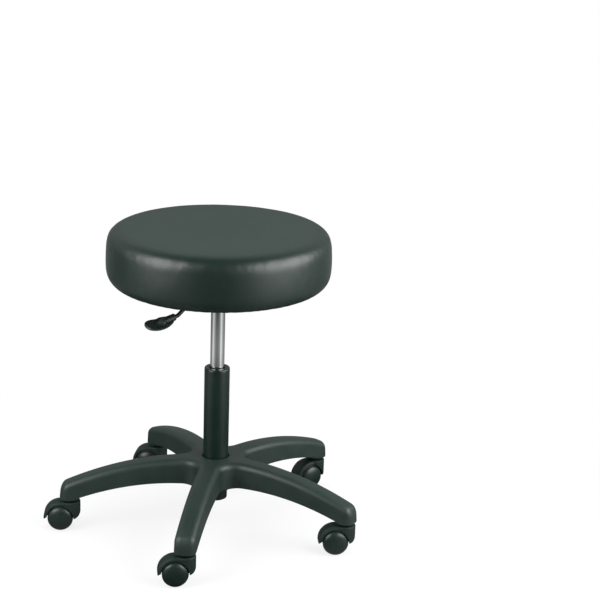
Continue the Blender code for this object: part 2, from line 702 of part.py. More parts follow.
def tube_radius(height):
    """Outside of the column tube, which tapers where the base holds it."""
    return TUBE_RADIUS - TAPER_SLOPE * max(0.0, TAPER_TOP - height)


def make_column(mats, base):
    """Outer tube of the gas lift and the guide in its top."""
    inner_end = TUBE_BOTTOM + TUBE_END_THICKNESS
    spigot_hole = flat_radius(SPIGOT_RADIUS + RUN_GAP, COLUMN_STEPS)
    profile = [
        (TUBE_RADIUS - TUBE_WALL, TUBE_TOP),
        (TUBE_RADIUS, TUBE_TOP),
        (TUBE_RADIUS, TAPER_TOP),
        (tube_radius(TUBE_BOTTOM), TUBE_BOTTOM),
        (spigot_hole, TUBE_BOTTOM),
        (spigot_hole, inner_end),
        (tube_radius(inner_end) - TUBE_WALL, inner_end),
        (TUBE_RADIUS - TUBE_WALL, TAPER_TOP),
    ]
    part(turned("column_tube", profile, COLUMN_STEPS), mats["black_steel"], base)

    bore = flat_radius(CYLINDER_RADIUS + RUN_GAP, COLUMN_STEPS)
    collar = TUBE_TOP + FIT_GAP
    sleeve = TUBE_RADIUS - TUBE_WALL - FIT_GAP
    middle = (TUBE_RADIUS - GUIDE_ROUND, collar + GUIDE_COLLAR - GUIDE_ROUND)
    rounding = arc(middle, GUIDE_ROUND, math.pi / 2, 0, EDGE_STEPS)
    guide = [(bore, collar + GUIDE_COLLAR)] + rounding
    guide += [(TUBE_RADIUS, collar), (sleeve, collar)]
    guide += [(sleeve, TUBE_TOP - GUIDE_LENGTH), (bore, TUBE_TOP - GUIDE_LENGTH)]
    part(turned("guide_bush", guide, COLUMN_STEPS), mats["guide_plastic"], base)

    race_bore = flat_radius(SPIGOT_RADIUS + RUN_GAP, SMALL_STEPS)
    top = RACE_LOWER_BOTTOM + RACE_THICKNESS
    lower = ring("bearing_race_lower", RACE_RADIUS, race_bore, RACE_LOWER_BOTTOM, top, SMALL_STEPS)
    part(lower, mats["zinc"], base)


def make_piston_rod(mats, swivel):
    """Piston, its rod, and the bearing, bumper and clip at the foot of the rod."""
    piston_top = PISTON_BOTTOM + PISTON_LENGTH
    end = CLIP_BOTTOM - FIT_GAP
    profile = [
        (0, piston_top + ROD_END_LENGTH),
        (SPIGOT_RADIUS, piston_top + ROD_END_LENGTH),
        (SPIGOT_RADIUS, PISTON_BOTTOM - FIT_GAP),
        (ROD_RADIUS, PISTON_BOTTOM - FIT_GAP),
        (ROD_RADIUS, ROD_SHOULDER),
        (SPIGOT_RADIUS, ROD_SHOULDER),
        (SPIGOT_RADIUS, TUBE_BOTTOM),
        (GROOVE_RADIUS, TUBE_BOTTOM),
        (GROOVE_RADIUS, end),
        (SPIGOT_RADIUS, end),
        (SPIGOT_RADIUS, end - ROD_END_LENGTH),
        (0, end - ROD_END_LENGTH),
    ]
    part(turned("piston_rod", profile, SMALL_STEPS), mats["zinc"], swivel)

    bore = CYLINDER_RADIUS - CYLINDER_WALL - RUN_GAP
    spigot_bore = flat_radius(SPIGOT_RADIUS + FIT_GAP, SMALL_STEPS)
    piston = ring("piston", bore, spigot_bore, PISTON_BOTTOM, piston_top, SMALL_STEPS)
    part(piston, mats["guide_plastic"], swivel)

    race_bore = flat_radius(SPIGOT_RADIUS + FIT_GAP, SMALL_STEPS)
    bearing_top = BEARING_BOTTOM + BEARING_THICKNESS
    bearing = ring("thrust_bearing", BEARING_RADIUS, race_bore, BEARING_BOTTOM, bearing_top, SMALL_STEPS)
    part(bearing, mats["zinc"], swivel)
    race_top = RACE_UPPER_BOTTOM + RACE_THICKNESS
    race = ring("bearing_race_upper", RACE_RADIUS, race_bore, RACE_UPPER_BOTTOM, race_top, SMALL_STEPS)
    part(race, mats["zinc"], swivel)
    bumper_bore = flat_radius(ROD_RADIUS + FIT_GAP, SMALL_STEPS)
    bumper_top = ROD_SHOULDER + BUMPER_HEIGHT
    bumper = ring("bumper", BUMPER_RADIUS, bumper_bore, ROD_SHOULDER, bumper_top, SMALL_STEPS)
    part(bumper, mats["rubber"], swivel)

    clip_bore = flat_radius(GROOVE_RADIUS + FIT_GAP, SMALL_STEPS)
    clip_top = CLIP_BOTTOM + CLIP_THICKNESS
    clip = ring("retaining_clip", CLIP_RADIUS, clip_bore, CLIP_BOTTOM, clip_top, SMALL_STEPS)
    part(clip, mats["zinc"], swivel)
    mouth_low = (0, -clip_bore, CLIP_BOTTOM - CUT_OVER)
    mouth = box("clip_mouth", mouth_low, (CLIP_RADIUS + CUT_OVER, clip_bore, clip_top + CUT_OVER))
    boolean(clip, mouth, "DIFFERENCE")


def arm_top(reach):
    """Height of an arm's top at a distance from the column, rounded off at the tip."""
    share = max(0.0, reach - ARM_TOP_FLAT) / (STEM_CIRCLE - ARM_TOP_FLAT)
    sweep = ARM_TOP - (ARM_RISE - ARM_TIP_RISE) * share**2
    past = min(max(0.0, reach - TIP_END + TIP_ROUND), TIP_ROUND)
    return sweep - TIP_ROUND + math.sqrt(TIP_ROUND**2 - past**2)


def arm_under(reach):
    """Height of an arm's lower edge at a distance from the column."""
    share = (reach - ARM_UNDER_CREST) / (STEM_CIRCLE - ARM_UNDER_CREST)
    sweep = ARM_UNDER - (ARM_UNDER_RISE - ARM_UNDER_TIP_RISE) * share**2
    return max(sweep, TIP_BOTTOM + TIP_LIP)


def arm_flank_slope():
    """How fast an arm's half width shrinks towards its tip."""
    return (ARM_TIP_HALF_WIDTH - ARM_ROOT_HALF_WIDTH) / STEM_CIRCLE


def fillet_centre():
    """Centre of the fillet between an arm and the next, in the arm's own plan."""
    slope = arm_flank_slope()
    lean = math.sqrt(1 + slope**2)
    half = ARM_STEP / 2
    distance = (ARM_FILLET * lean + ARM_ROOT_HALF_WIDTH) / (math.sin(half) - slope * math.cos(half))
    return Vector((distance * math.cos(half), distance * math.sin(half)))


def half_arm_outline():
    """One side of an arm in plan, from the bisector to the tip, as (point, outward normal) pairs."""
    slope = arm_flank_slope()
    flank_normal = Vector((-slope, 1)).normalized()
    centre = fillet_centre()
    first = math.pi + ARM_STEP / 2
    last = math.atan2(-flank_normal.y, -flank_normal.x) + 2 * math.pi
    outline = []
    for point in arc(centre, ARM_FILLET, first, last, BEND_STEPS):
        outline.append((Vector(point), (centre - Vector(point)).normalized()))
    root = outline[-1][0].x
    corner_reach = TIP_END - TIP_CORNER
    corner = Vector((corner_reach, ARM_ROOT_HALF_WIDTH + slope * corner_reach - TIP_CORNER))
    for i in range(1, ARM_STATIONS):
        reach = root + (corner.x - root) * i / ARM_STATIONS
        outline.append((Vector((reach, ARM_ROOT_HALF_WIDTH + slope * reach)), flank_normal))
    for point in arc(corner, TIP_CORNER, math.pi / 2, 0, EDGE_STEPS):
        outline.append((Vector(point), (Vector(point) - corner).normalized()))
    return outline


def half_width(reach):
    """Half the width of an arm in plan, with the fillet that joins it to the next arm."""
    centre = fillet_centre()
    flank = ARM_ROOT_HALF_WIDTH + arm_flank_slope() * reach
    across = reach - centre.x
    if across > 0:
        return flank
    if abs(across) > ARM_FILLET:
        return math.inf
    return max(flank, centre.y - math.sqrt(ARM_FILLET**2 - across**2))


def star_rings():
    """Inset, drop from the top and side of each ring of the star's skin, from below to the top."""
    rings = [(-ARM_DRAFT, None)]
    for i in range(EDGE_STEPS + 1):
        lean = math.pi / 2 * i / EDGE_STEPS
        rings.append((ARM_SHOULDER * (1 - math.cos(lean)), ARM_SHOULDER * (1 - math.sin(lean))))
    return rings


def make_star_skin():
    """Return the star as a closed skin through rings that follow its plan."""
    half = half_arm_outline()
    bm = bmesh.new()
    loops = []
    for inset, drop in star_rings():
        loop = []
        for k in range(ARM_COUNT):
            turn = Matrix.Rotation(FIRST_ARM + k * ARM_STEP, 2)
            right = [(Vector((p.x, -p.y)), Vector((n.x, -n.y))) for p, n in half]
            left = half[:0:-1]
            side = []
            for point, normal in right + left:
                moved = point - normal * inset
                height = arm_under(point.x) if drop is None else arm_top(moved.x) - drop
                plan = turn @ moved
                side.append(bm.verts.new((plan.x, plan.y, height)))
            loop.append(side)
        loops.append(loop)
    for low, high in zip(loops, loops[1:]):
        lower = [vert for side in low for vert in side]
        upper = [vert for side in high for vert in side]
        for i in range(len(lower)):
            j = (i + 1) % len(lower)
            bm.faces.new((lower[i], lower[j], upper[j], upper[i]))
    for loop in (loops[0], loops[-1]):
        count = len(half)
        for k in range(ARM_COUNT):
            right = loop[k][:count]
            left = [loop[(k + 1) % ARM_COUNT][0]] + loop[k][:count - 1:-1]
            for i in range(count - 1):
                bm.faces.new((right[i], right[i + 1], left[i + 1], left[i]))
        bm.faces.new([side[0] for side in loop])
    return mesh_object("star_base", bm)


def pocket_section(reach, side):
    """Section of the hollow under an arm, on one side of its middle rib."""
    ceiling = arm_top(reach) - ARM_WALL
    floor = TIP_BOTTOM - CUT_OVER
    inner = RIB_THICKNESS / 2
    bisector = reach * math.tan(ARM_STEP / 2) - inner / math.cos(ARM_STEP / 2)
    lower = min(half_width(reach) + ARM_DRAFT - ARM_WALL, bisector)
    upper = min(half_width(reach) - ARM_SHOULDER / 2 - ARM_WALL / 2, bisector)
    corners = ((inner, floor), (lower, floor), (upper, ceiling), (inner, ceiling))
    return [(reach, side * y, z) for y, z in corners]


def make_pockets():
    """Return the hollows under the arms, which leave a middle rib and cross ribs standing."""
    start = HUB_CORE
    end = STEM_CIRCLE - TIP_BOSS_RADIUS
    pitch = (end - start) / POCKET_COUNT
    bm = bmesh.new()
    for k in range(ARM_COUNT):
        turn = Matrix.Rotation(FIRST_ARM + k * ARM_STEP, 3, "Z")
        for i in range(POCKET_COUNT):
            low = start + i * pitch + RIB_THICKNESS / 2
            high = start + (i + 1) * pitch - RIB_THICKNESS / 2
            for side in (-1, 1):
                loft(bm, [[turn @ Vector(p) for p in pocket_section(reach, side)] for reach in (low, high)])
    return mesh_object("arm_pockets", bm)


def make_base(mats, base):
    """Five-arm moulded base with its hub sleeve and stem sockets."""
    star = make_star_skin()
    part(star, mats["base_nylon"], base)
    stems = around(ARM_COUNT, STEM_CIRCLE, FIRST_ARM)
    boolean(star, make_pockets(), "DIFFERENCE")
    sleeve_top = ARM_UNDER + WELD
    sleeve = bars("hub_sleeve", [(0, 0)], HUB_SLEEVE_RADIUS, HUB_SLEEVE_BOTTOM, sleeve_top, COLUMN_STEPS)
    boolean(star, sleeve, "UNION")
    boolean(star, bars("tip_bosses", stems, TIP_BOSS_RADIUS, TIP_BOTTOM, STEM_TOP, COLUMN_STEPS), "UNION")

    high = ARM_TOP + CUT_OVER
    shelf = ARM_TOP - HUB_RECESS_DEPTH
    low = HUB_SLEEVE_BOTTOM - CUT_OVER
    bore = [
        (0, high),
        (HUB_RECESS_RADIUS, high),
        (HUB_RECESS_RADIUS, ARM_TOP),
        (tube_radius(shelf) + FIT_GAP, shelf),
        (tube_radius(low) + FIT_GAP, low),
        (0, low),
    ]
    boolean(star, turned("hub_bore", bore, COLUMN_STEPS), "DIFFERENCE")
    socket = flat_radius(STEM_RADIUS + FIT_GAP, SMALL_STEPS)
    top = STEM_TOP + FIT_GAP
    boolean(star, bars("stem_sockets", stems, socket, TIP_BOTTOM - CUT_OVER, top, SMALL_STEPS), "DIFFERENCE")


def make_stem(mats, base, number, place_on_floor):
    """Stem of a caster with the spring ring that grips the arm's socket."""
    neck = STEM_RADIUS - RING_GROOVE
    chamfer = RING_WIRE
    ring_height = STEM_TOP - RING_DEPTH
    flange_top = TIP_BOTTOM - FIT_GAP
    flange_bottom = HOOD_TOP + FIT_GAP
    half_groove = RING_WIRE + FIT_GAP
    profile = [
        (0, STEM_TOP),
        (STEM_RADIUS - chamfer, STEM_TOP),
        (STEM_RADIUS, STEM_TOP - chamfer),
        (STEM_RADIUS, ring_height + half_groove),
        (neck, ring_height + half_groove),
        (neck, ring_height - half_groove),
        (STEM_RADIUS, ring_height - half_groove),
        (STEM_RADIUS, flange_top),
        (STEM_FLANGE_RADIUS, flange_top),
        (STEM_FLANGE_RADIUS, flange_bottom),
        (STEM_RADIUS, flange_bottom),
        (STEM_RADIUS, STEM_BOTTOM),
        (0, STEM_BOTTOM),
    ]
    part(turned(f"caster_stem_{number}", profile, SMALL_STEPS), mats["zinc"], base, place_on_floor)
    inner = flat_radius(neck, SMALL_STEPS) + FIT_GAP
    outer = STEM_RADIUS
    low = ring_height - RING_WIRE
    spring = ring(f"grip_ring_{number}", outer, inner, low, ring_height + RING_WIRE, SMALL_STEPS)
    part(spring, mats["zinc"], base, place_on_floor)


def hood_side():
    """Side outline of a caster hood, with X trailing behind the stem and Y upward."""
    axle = (CASTER_TRAIL, WHEEL_RADIUS)
    nose = -HOOD_NOSE_RADIUS
    well = WHEEL_RADIUS + WHEEL_WELL_GAP
    outline = arc(axle, HOOD_RADIUS, -HOOD_LIP_LOW, math.pi / 2, SWEEP_STEPS)
    outline += [(STEM_FLANGE_RADIUS, HOOD_TOP), (nose, HOOD_TOP)]
    corner = (nose + HOOD_NOSE_ROUND, HOOD_NOSE_BOTTOM + HOOD_NOSE_ROUND)
    outline += arc(corner, HOOD_NOSE_ROUND, math.pi, 1.5 * math.pi, BEND_STEPS)
    outline += arc(axle, HOOD_AXLE_BOSS, 1.25 * math.pi, 1.75 * math.pi, EDGE_STEPS)
    outline += arc(axle, well, HOOD_LIP_HIGH, HOOD_LIP_HIGH, 1)[:1]
    return outline


def hood_plan():
    """Plan of a caster hood: a round nose, sides that are set in from it and rounded corners behind."""
    half = HOOD_WIDTH / 2
    side = half - HOOD_REAR_ROUND
    back = CASTER_TRAIL + HOOD_RADIUS - HOOD_REAR_ROUND
    outline = arc((back, -side), HOOD_REAR_ROUND, -math.pi / 2, 0, EDGE_STEPS)
    outline += arc((back, side), HOOD_REAR_ROUND, 0, math.pi / 2, EDGE_STEPS)
    start = math.asin(half / HOOD_NOSE_RADIUS)
    return outline + arc((0, 0), HOOD_NOSE_RADIUS, start, 2 * math.pi - start, SWEEP_STEPS)


def wheel_profile(bore, inner_face):
    """Section of a wheel: height runs out along the axle from the middle of the caster."""
    rim = flat_radius(WHEEL_RADIUS, WHEEL_STEPS)
    tread_end = inner_face + WHEEL_TREAD
    apex = tread_end + WHEEL_DOME
    points = [(0, apex)]
    for lean in WHEEL_LEANS:
        angle = math.radians(lean)
        points.append((rim * math.sin(angle), tread_end + WHEEL_DOME * math.cos(angle)))
    points += [(rim, tread_end), (rim, inner_face), (rim - WHEEL_RIM, inner_face)]
    points += [(rim - WHEEL_RIM, tread_end), (WHEEL_HUB_RADIUS, apex - WHEEL_CROWN)]
    points += [(WHEEL_HUB_RADIUS, inner_face), (bore, inner_face)]
    points += [(bore, apex - WHEEL_CAP), (0, apex - WHEEL_CAP)]
    return points


def make_caster(mats, base, number, place_on_floor, turn):
    """One caster: hood, axle and two wheels, trailing towards +X of its swivel."""
    make_stem(mats, base, number, place_on_floor)
    swivel = empty(f"caster_axis_{number}", base, place_on_floor, (0, 0, turn))
    half = HOOD_NOSE_RADIUS
    hood = slab(f"caster_hood_{number}", hood_side(), -half, half)
    hood.data.transform(Matrix.Rotation(math.pi / 2, 4, "X"))
    part(hood, mats["caster_nylon"], swivel)
    boolean(hood, slab(f"hood_plan_{number}", hood_plan(), -CUT_OVER, HOOD_TOP + CUT_OVER), "INTERSECT")
    well = flat_radius(WHEEL_RADIUS + WHEEL_WELL_GAP, COLUMN_STEPS)
    web = HOOD_WEB / 2
    for side in (-1, 1):
        name = f"wheel_well_{number}_{'ab'[side > 0]}"
        bm = bmesh.new()
        middle = side * (web + half + CUT_OVER) / 2
        tip_over = Matrix.Rotation(math.pi / 2, 4, "X")
        pose = Matrix.Translation((CASTER_TRAIL, middle, WHEEL_RADIUS)) @ tip_over
        bmesh.ops.create_cone(
            bm,
            cap_ends=True,
            segments=COLUMN_STEPS,
            radius1=well,
            radius2=well,
            depth=half + CUT_OVER - web,
            matrix=pose,
        )
        boolean(hood, mesh_object(name, bm), "DIFFERENCE")
    stem_hole = flat_radius(STEM_RADIUS + RUN_GAP, SMALL_STEPS)
    low = STEM_BOTTOM - FIT_GAP
    hole = bars(f"stem_hole_{number}", [(0, 0)], stem_hole, low, HOOD_TOP + CUT_OVER, SMALL_STEPS)
    boolean(hood, hole, "DIFFERENCE")
    axle_hole = flat_radius(AXLE_RADIUS + FIT_GAP, SMALL_STEPS)
    tunnel = cross_bar(f"axle_hole_{number}", axle_hole, HOOD_WIDTH, SMALL_STEPS, CASTER_TRAIL, WHEEL_RADIUS)
    boolean(hood, tunnel, "DIFFERENCE")

    wheel_bore = flat_radius(AXLE_RADIUS + RUN_GAP, WHEEL_STEPS)
    profile = wheel_profile(wheel_bore, web + RUN_GAP)
    axle_reach = profile[-1][1] - FIT_GAP
    axle_bar = cross_bar(f"caster_axle_{number}", AXLE_RADIUS, 2 * axle_reach, SMALL_STEPS, 0, 0)
    part(axle_bar, mats["zinc"], swivel, (CASTER_TRAIL, 0, WHEEL_RADIUS))
    for letter, side in (("a", -1), ("b", 1)):
        wheel = turned(f"wheel_{number}_{letter}", profile, WHEEL_STEPS)
        upright = Matrix.Rotation(-side * math.pi / 2, 4, "X")
        flat_down = Matrix.Rotation(math.pi / 2 - math.pi / WHEEL_STEPS, 4, "Z")
        spin = (upright @ flat_down).to_euler()
        part(wheel, mats["wheel_nylon"], swivel, (CASTER_TRAIL, 0, WHEEL_RADIUS), spin)


def main():
    """Build the whole stool."""
    start_scene()
    mats = make_materials()
    base = empty("base_frame")
    swivel = empty("lift_axis", base)
    seat = empty("seat_frame", swivel, (0, 0, 0), (0, 0, LEVER_ANGLE))
    make_base(mats, base)
    make_column(mats, base)
    make_piston_rod(mats, swivel)
    make_gas_cylinder(mats, seat)
    make_seat_plate(mats, seat)
    make_seat_fasteners(mats, seat)
    make_cushion(mats, seat)
    make_lever(mats, seat)
    for number, ((x, y), turn) in enumerate(zip(around(ARM_COUNT, STEM_CIRCLE, FIRST_ARM), CASTER_TURNS), 1):
        make_caster(mats, base, number, (x, y, 0), math.radians(turn))
    bpy.context.view_layer.update()


main()
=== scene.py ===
# %% [markdown]
# # A rolling task stool, dressed over its solids
#
# The stool is a thick round vinyl cushion on a gas lift, over a moulded five-arm base with hooded
# twin-wheel casters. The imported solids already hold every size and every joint, but they are
# faceted and plain. This lesson puts a finished piece over each solid that shows, and gives the
# solids that stay a finish of their own.

# %% Load the solids
import math

import bmesh
import bpy
from mathutils import Matrix, Vector, noise


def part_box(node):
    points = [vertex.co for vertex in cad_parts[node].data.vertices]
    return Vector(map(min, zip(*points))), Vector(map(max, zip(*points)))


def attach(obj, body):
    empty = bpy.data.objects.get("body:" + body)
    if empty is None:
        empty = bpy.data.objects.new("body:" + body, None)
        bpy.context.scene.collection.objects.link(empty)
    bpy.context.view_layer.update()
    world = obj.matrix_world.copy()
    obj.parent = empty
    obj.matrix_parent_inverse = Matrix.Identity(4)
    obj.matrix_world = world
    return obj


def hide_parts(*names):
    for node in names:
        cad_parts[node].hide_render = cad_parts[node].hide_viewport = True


MM = 0.001
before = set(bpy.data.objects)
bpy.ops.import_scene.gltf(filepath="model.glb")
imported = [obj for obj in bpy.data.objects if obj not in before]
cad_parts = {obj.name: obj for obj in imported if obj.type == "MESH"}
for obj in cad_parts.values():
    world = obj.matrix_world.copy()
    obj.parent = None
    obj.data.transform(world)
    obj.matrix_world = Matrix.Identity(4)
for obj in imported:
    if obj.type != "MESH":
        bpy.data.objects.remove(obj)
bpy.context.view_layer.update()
scene = bpy.context.scene


def in_mm(box):
    """The corners of a box, to be printed in millimetres."""
    return [[round(value / MM, 1) for value in corner] for corner in box]


def link(name, data):
    """Put data into the scene as an object."""
    thing = bpy.data.objects.new(name, data)
    scene.collection.objects.link(thing)
    return thing


# %% [markdown]
# ## The camera
#
# The picture was taken with a long lens from a little above the seat and a little to the right of
# the front arm. The numbers below came from laying the outline of the solids over the picture
# until the two agreed. A camera looks along its own -Z, so its matrix is built from the three
# directions right, up and backwards.

# %% Camera
PICTURE_PIXELS = 600
FOCAL_PIXELS = 1800
SENSOR_WIDTH = 36
CAMERA_REACH = 3.3307
CAMERA_HEIGHT = 1.4935
CAMERA_ROUND = math.radians(10.56)
CAMERA_YAW = math.radians(2.716)
CAMERA_PITCH = math.radians(17.1)
CAMERA_ROLL = math.radians(1.797)


def make_camera():
    """A camera at the viewing angle of the picture."""
    flat = Vector((math.sin(CAMERA_YAW), math.cos(CAMERA_YAW), 0))
    ahead = flat * math.cos(CAMERA_PITCH) - Vector((0, 0, math.sin(CAMERA_PITCH)))
    right = Vector((math.cos(CAMERA_YAW), -math.sin(CAMERA_YAW), 0))
    up = right.cross(ahead)
    rolled_right = right * math.cos(CAMERA_ROLL) + up * math.sin(CAMERA_ROLL)
    rolled_up = up * math.cos(CAMERA_ROLL) - right * math.sin(CAMERA_ROLL)
    axes = Matrix((rolled_right, rolled_up, -ahead)).transposed().to_4x4()
    pose = Matrix.Translation((0, -CAMERA_REACH, CAMERA_HEIGHT)) @ axes
    data = bpy.data.cameras.new("camera")
    data.sensor_width = SENSOR_WIDTH
    data.lens = SENSOR_WIDTH * FOCAL_PIXELS / PICTURE_PIXELS
    scene.camera = link("camera", data)
    scene.camera.matrix_world = Matrix.Rotation(CAMERA_ROUND, 4, "Z") @ pose
    return data.lens


print("lens:", make_camera(), "mm")

# %% [markdown]
# ## Writing node trees as expressions
#
# Every finish here is a node tree, and so is every piece that repeats. Clicking them together is
# slow to read back later, so one small class wraps a socket and turns Python arithmetic into Math
# nodes, and one method adds any other node with its settings and its sockets.


# %% Sockets that can be added and multiplied
class Wire:
    """One output socket. Arithmetic on it adds Math nodes to its tree."""

    def __init__(self, tree, socket):
        self.tree = tree
        self.socket = socket

    def math(self, operation, first, second):
        return self.tree.add("ShaderNodeMath", {"operation": operation}, {0: first, 1: second})

    def __add__(self, other):
        return self.math("ADD", self, other)

    def __radd__(self, other):
        return self.math("ADD", other, self)

    def __sub__(self, other):
        return self.math("SUBTRACT", self, other)

    def __rsub__(self, other):
        return self.math("SUBTRACT", other, self)

    def __mul__(self, other):
        return self.math("MULTIPLY", self, other)

    def __rmul__(self, other):
        return self.math("MULTIPLY", other, self)

    def __truediv__(self, other):
        return self.math("DIVIDE", self, other)

    def __rtruediv__(self, other):
        return self.math("DIVIDE", other, self)

    def __pow__(self, other):
        return self.math("POWER", self, other)


# %% Trees that nodes are added to
class Tree:
    """A node tree, with the material or world that it belongs to."""

    def __init__(self, data, owner=None):
        self.data = data
        self.owner = owner

    def add(self, kind, settings=None, sockets=None, out=0):
        """Add a node, set it up, fill or link its sockets, and return one of its outputs."""
        node = self.data.nodes.new(kind)
        for name, value in (settings or {}).items():
            setattr(node, name, value)
        for name, value in (sockets or {}).items():
            if isinstance(value, Wire):
                self.data.links.new(value.socket, node.inputs[name])
            else:
                node.inputs[name].default_value = value
        return Wire(self, node.outputs[out]) if node.outputs else None


def empty_tree(owner):
    """The cleared node tree of a material or a world."""
    owner.use_nodes = True
    owner.node_tree.nodes.clear()
    return Tree(owner.node_tree, owner)


# %% Nodes that are used again and again
RAYS = ("Is Camera Ray", "Is Glossy Ray", "Is Transmission Ray")


def ray_kinds(tree):
    """Whether a ray comes from the camera, off a mirror, or through glass."""
    return [tree.add("ShaderNodeLightPath", out=ray) for ray in RAYS]


def vector(tree, operation, *values):
    """A Vector Math node. A length or a dot product comes out as a number."""
    out = "Value" if operation in ("LENGTH", "DOT_PRODUCT") else "Vector"
    sockets = dict(enumerate(values))
    return tree.add("ShaderNodeVectorMath", {"operation": operation}, sockets, out)


def spread(tree, value, low, high, first=0.0, last=1.0, smooth=False):
    """Draw a value that runs from low to high out to run from first to last, and hold it there."""
    settings = {"interpolation_type": "SMOOTHSTEP" if smooth else "LINEAR"}
    sockets = {"Value": value, "From Min": low, "From Max": high, "To Min": first, "To Max": last}
    return tree.add("ShaderNodeMapRange", settings, sockets)


print("rays that see the white ground:", ", ".join(RAYS))

# %% [markdown]
# ## The studio
#
# The picture has a plain white ground and soft light: a bright panel on the left, a wider one on
# the right, and a pale room behind. Above and beside the camera the room is dark, and that is what
# draws the dark stripe down the middle of the cushion and of the column. Towards the horizon the
# room dims, so the seat's top stays darker than its rim. The world gives the camera and glass a
# white ground, shows mirrors the same ground at the strength that it has in each direction, and
# lights the rest evenly.

# %% World
FRONT = CAMERA_ROUND - math.pi / 2
WHITE = (1, 1, 1, 1)
EVEN_LIGHT = (0.96, 1, 0.985, 1)
ROOM_LEVEL = 0.42
DARK_LEVEL = 0.04
DARK_RISE = 50
DARK_SPREAD = (0.2, 0.75)
HORIZON_SHARE = 0.45
OVERHEAD_SHARE = 1.12
HORIZON_SPREAD = (0.0, 0.35)


def towards(turn, rise=0.0):
    """The direction that lies some degrees round from the camera and above the level."""
    around, lift = FRONT + math.radians(turn), math.radians(rise)
    level = math.cos(lift)
    return Vector((math.cos(around) * level, math.sin(around) * level, math.sin(lift)))


def make_world():
    """White for the camera, a room with a dark side for mirrors, and an even grey for the rest."""
    tree = empty_tree(bpy.data.worlds.new("studio"))
    way = tree.add("ShaderNodeTexCoord", out="Generated")
    facing = vector(tree, "DOT_PRODUCT", way, towards(0, DARK_RISE))
    level = spread(tree, facing, *DARK_SPREAD, ROOM_LEVEL, DARK_LEVEL, smooth=True)
    rise = tree.add("ShaderNodeSeparateXYZ", None, {0: way}, out="Z")
    level = level * spread(tree, rise, *HORIZON_SPREAD, HORIZON_SHARE, OVERHEAD_SHARE, smooth=True)
    seen, mirrored, through = ray_kinds(tree)
    even = tree.add("ShaderNodeBackground", None, {"Color": EVEN_LIGHT, "Strength": ROOM_LEVEL})
    strength = seen + through + mirrored * level
    ground = tree.add("ShaderNodeBackground", None, {"Color": WHITE, "Strength": strength})
    sockets = {0: seen + mirrored + through, 1: even, 2: ground}
    both = tree.add("ShaderNodeMixShader", None, sockets)
    tree.add("ShaderNodeOutputWorld", None, {"Surface": both})
    return tree.owner


scene.view_settings.view_transform = "Standard"
scene.world = make_world()
print("world:", scene.world.name)

# %% Lamps
AIM_HEIGHT = 0.45


def make_panel(name, turn, rise, reach, width, height, level, mirrored=True):
    """A soft lamp that faces the stool, by degrees round from the camera and above the level."""
    data = bpy.data.lights.new(name, "AREA")
    data.shape = "ELLIPSE"
    data.size = width
    data.size_y = height
    data.energy = level * math.pi * width * height * math.pi / 4
    lamp = link(name, data)
    lamp.visible_camera = False
    lamp.visible_glossy = mirrored
    side = towards(turn, rise)
    place = Matrix.Translation(Vector((0, 0, AIM_HEIGHT)) + side * reach)
    lamp.matrix_world = place @ side.to_track_quat("Z", "Y").to_matrix().to_4x4()


make_panel("left_panel", turn=-59, rise=25, reach=1.5, width=1.2, height=1.25, level=6.8)
make_panel("right_panel", turn=67, rise=22, reach=1.5, width=2.0, height=1.15, level=6.9)
make_panel(
    "ceiling_panel", turn=170, rise=78, reach=2.6, width=2.9, height=2.3, level=3.0, mirrored=False
)
print("lamps:", [lamp.name for lamp in bpy.data.lights])

# %% [markdown]
# The floor is white paint. To the camera it fades into the white ground a little way off, and near
# the stool it keeps the shadow. An upright wall mirrors the floor, and the higher the wall, the
# farther off the spot it mirrors. So reflections show the floor dim near the stool, with a paler
# ring that the plated cylinder mirrors, two narrow strips for its bright lines, and broad pools in
# front of the panels that light the upright side of the cushion. A pool or a strip is written as
# degrees round from the camera, strength and narrowness.

# %% Floor
FLOOR_HALF = 40
FLOOR_PAINT = (0.70, 0.705, 0.702, 1)
FLOOR_GLOW = 0.80
FLOOR_FADE = (0.3, 0.95)
FLOOR_DIM = 0.02
FLOOR_RING = 0.22
RING_START = (0.7, 0.9)
RING_END = (1.05, 1.6)
FAR_START = (1.25, 1.8)
POOLS = ((-68, 0.28, 8.0), (66, 0.25, 4.0), (58, 0.15, 40.0), (175, 0.05, 2.0))
STRIPS = ((-77, 0.38, 50.0), (57, 0.42, 50.0))
BACK = ((178, 0.34, 2.0),)


def floor_level(tree, place, far):
    """How bright mirrors see the floor."""
    bearing = vector(tree, "NORMALIZE", place)
    within = spread(tree, far, *RING_START)
    ring = within * (1 - spread(tree, far, *RING_END))
    beyond = spread(tree, far, *FAR_START)
    pool = 0.9 + 0.2 * within + 1.3 * beyond
    level = FLOOR_DIM + (FLOOR_RING - FLOOR_DIM) * ring
    for spots, share in ((POOLS, pool), (STRIPS, ring), (BACK, beyond)):
        for turn, strength, narrowness in spots:
            near = vector(tree, "DOT_PRODUCT", bearing, towards(turn))
            level = level + near.math("MAXIMUM", near, 0.0) ** narrowness * strength * share
    return level


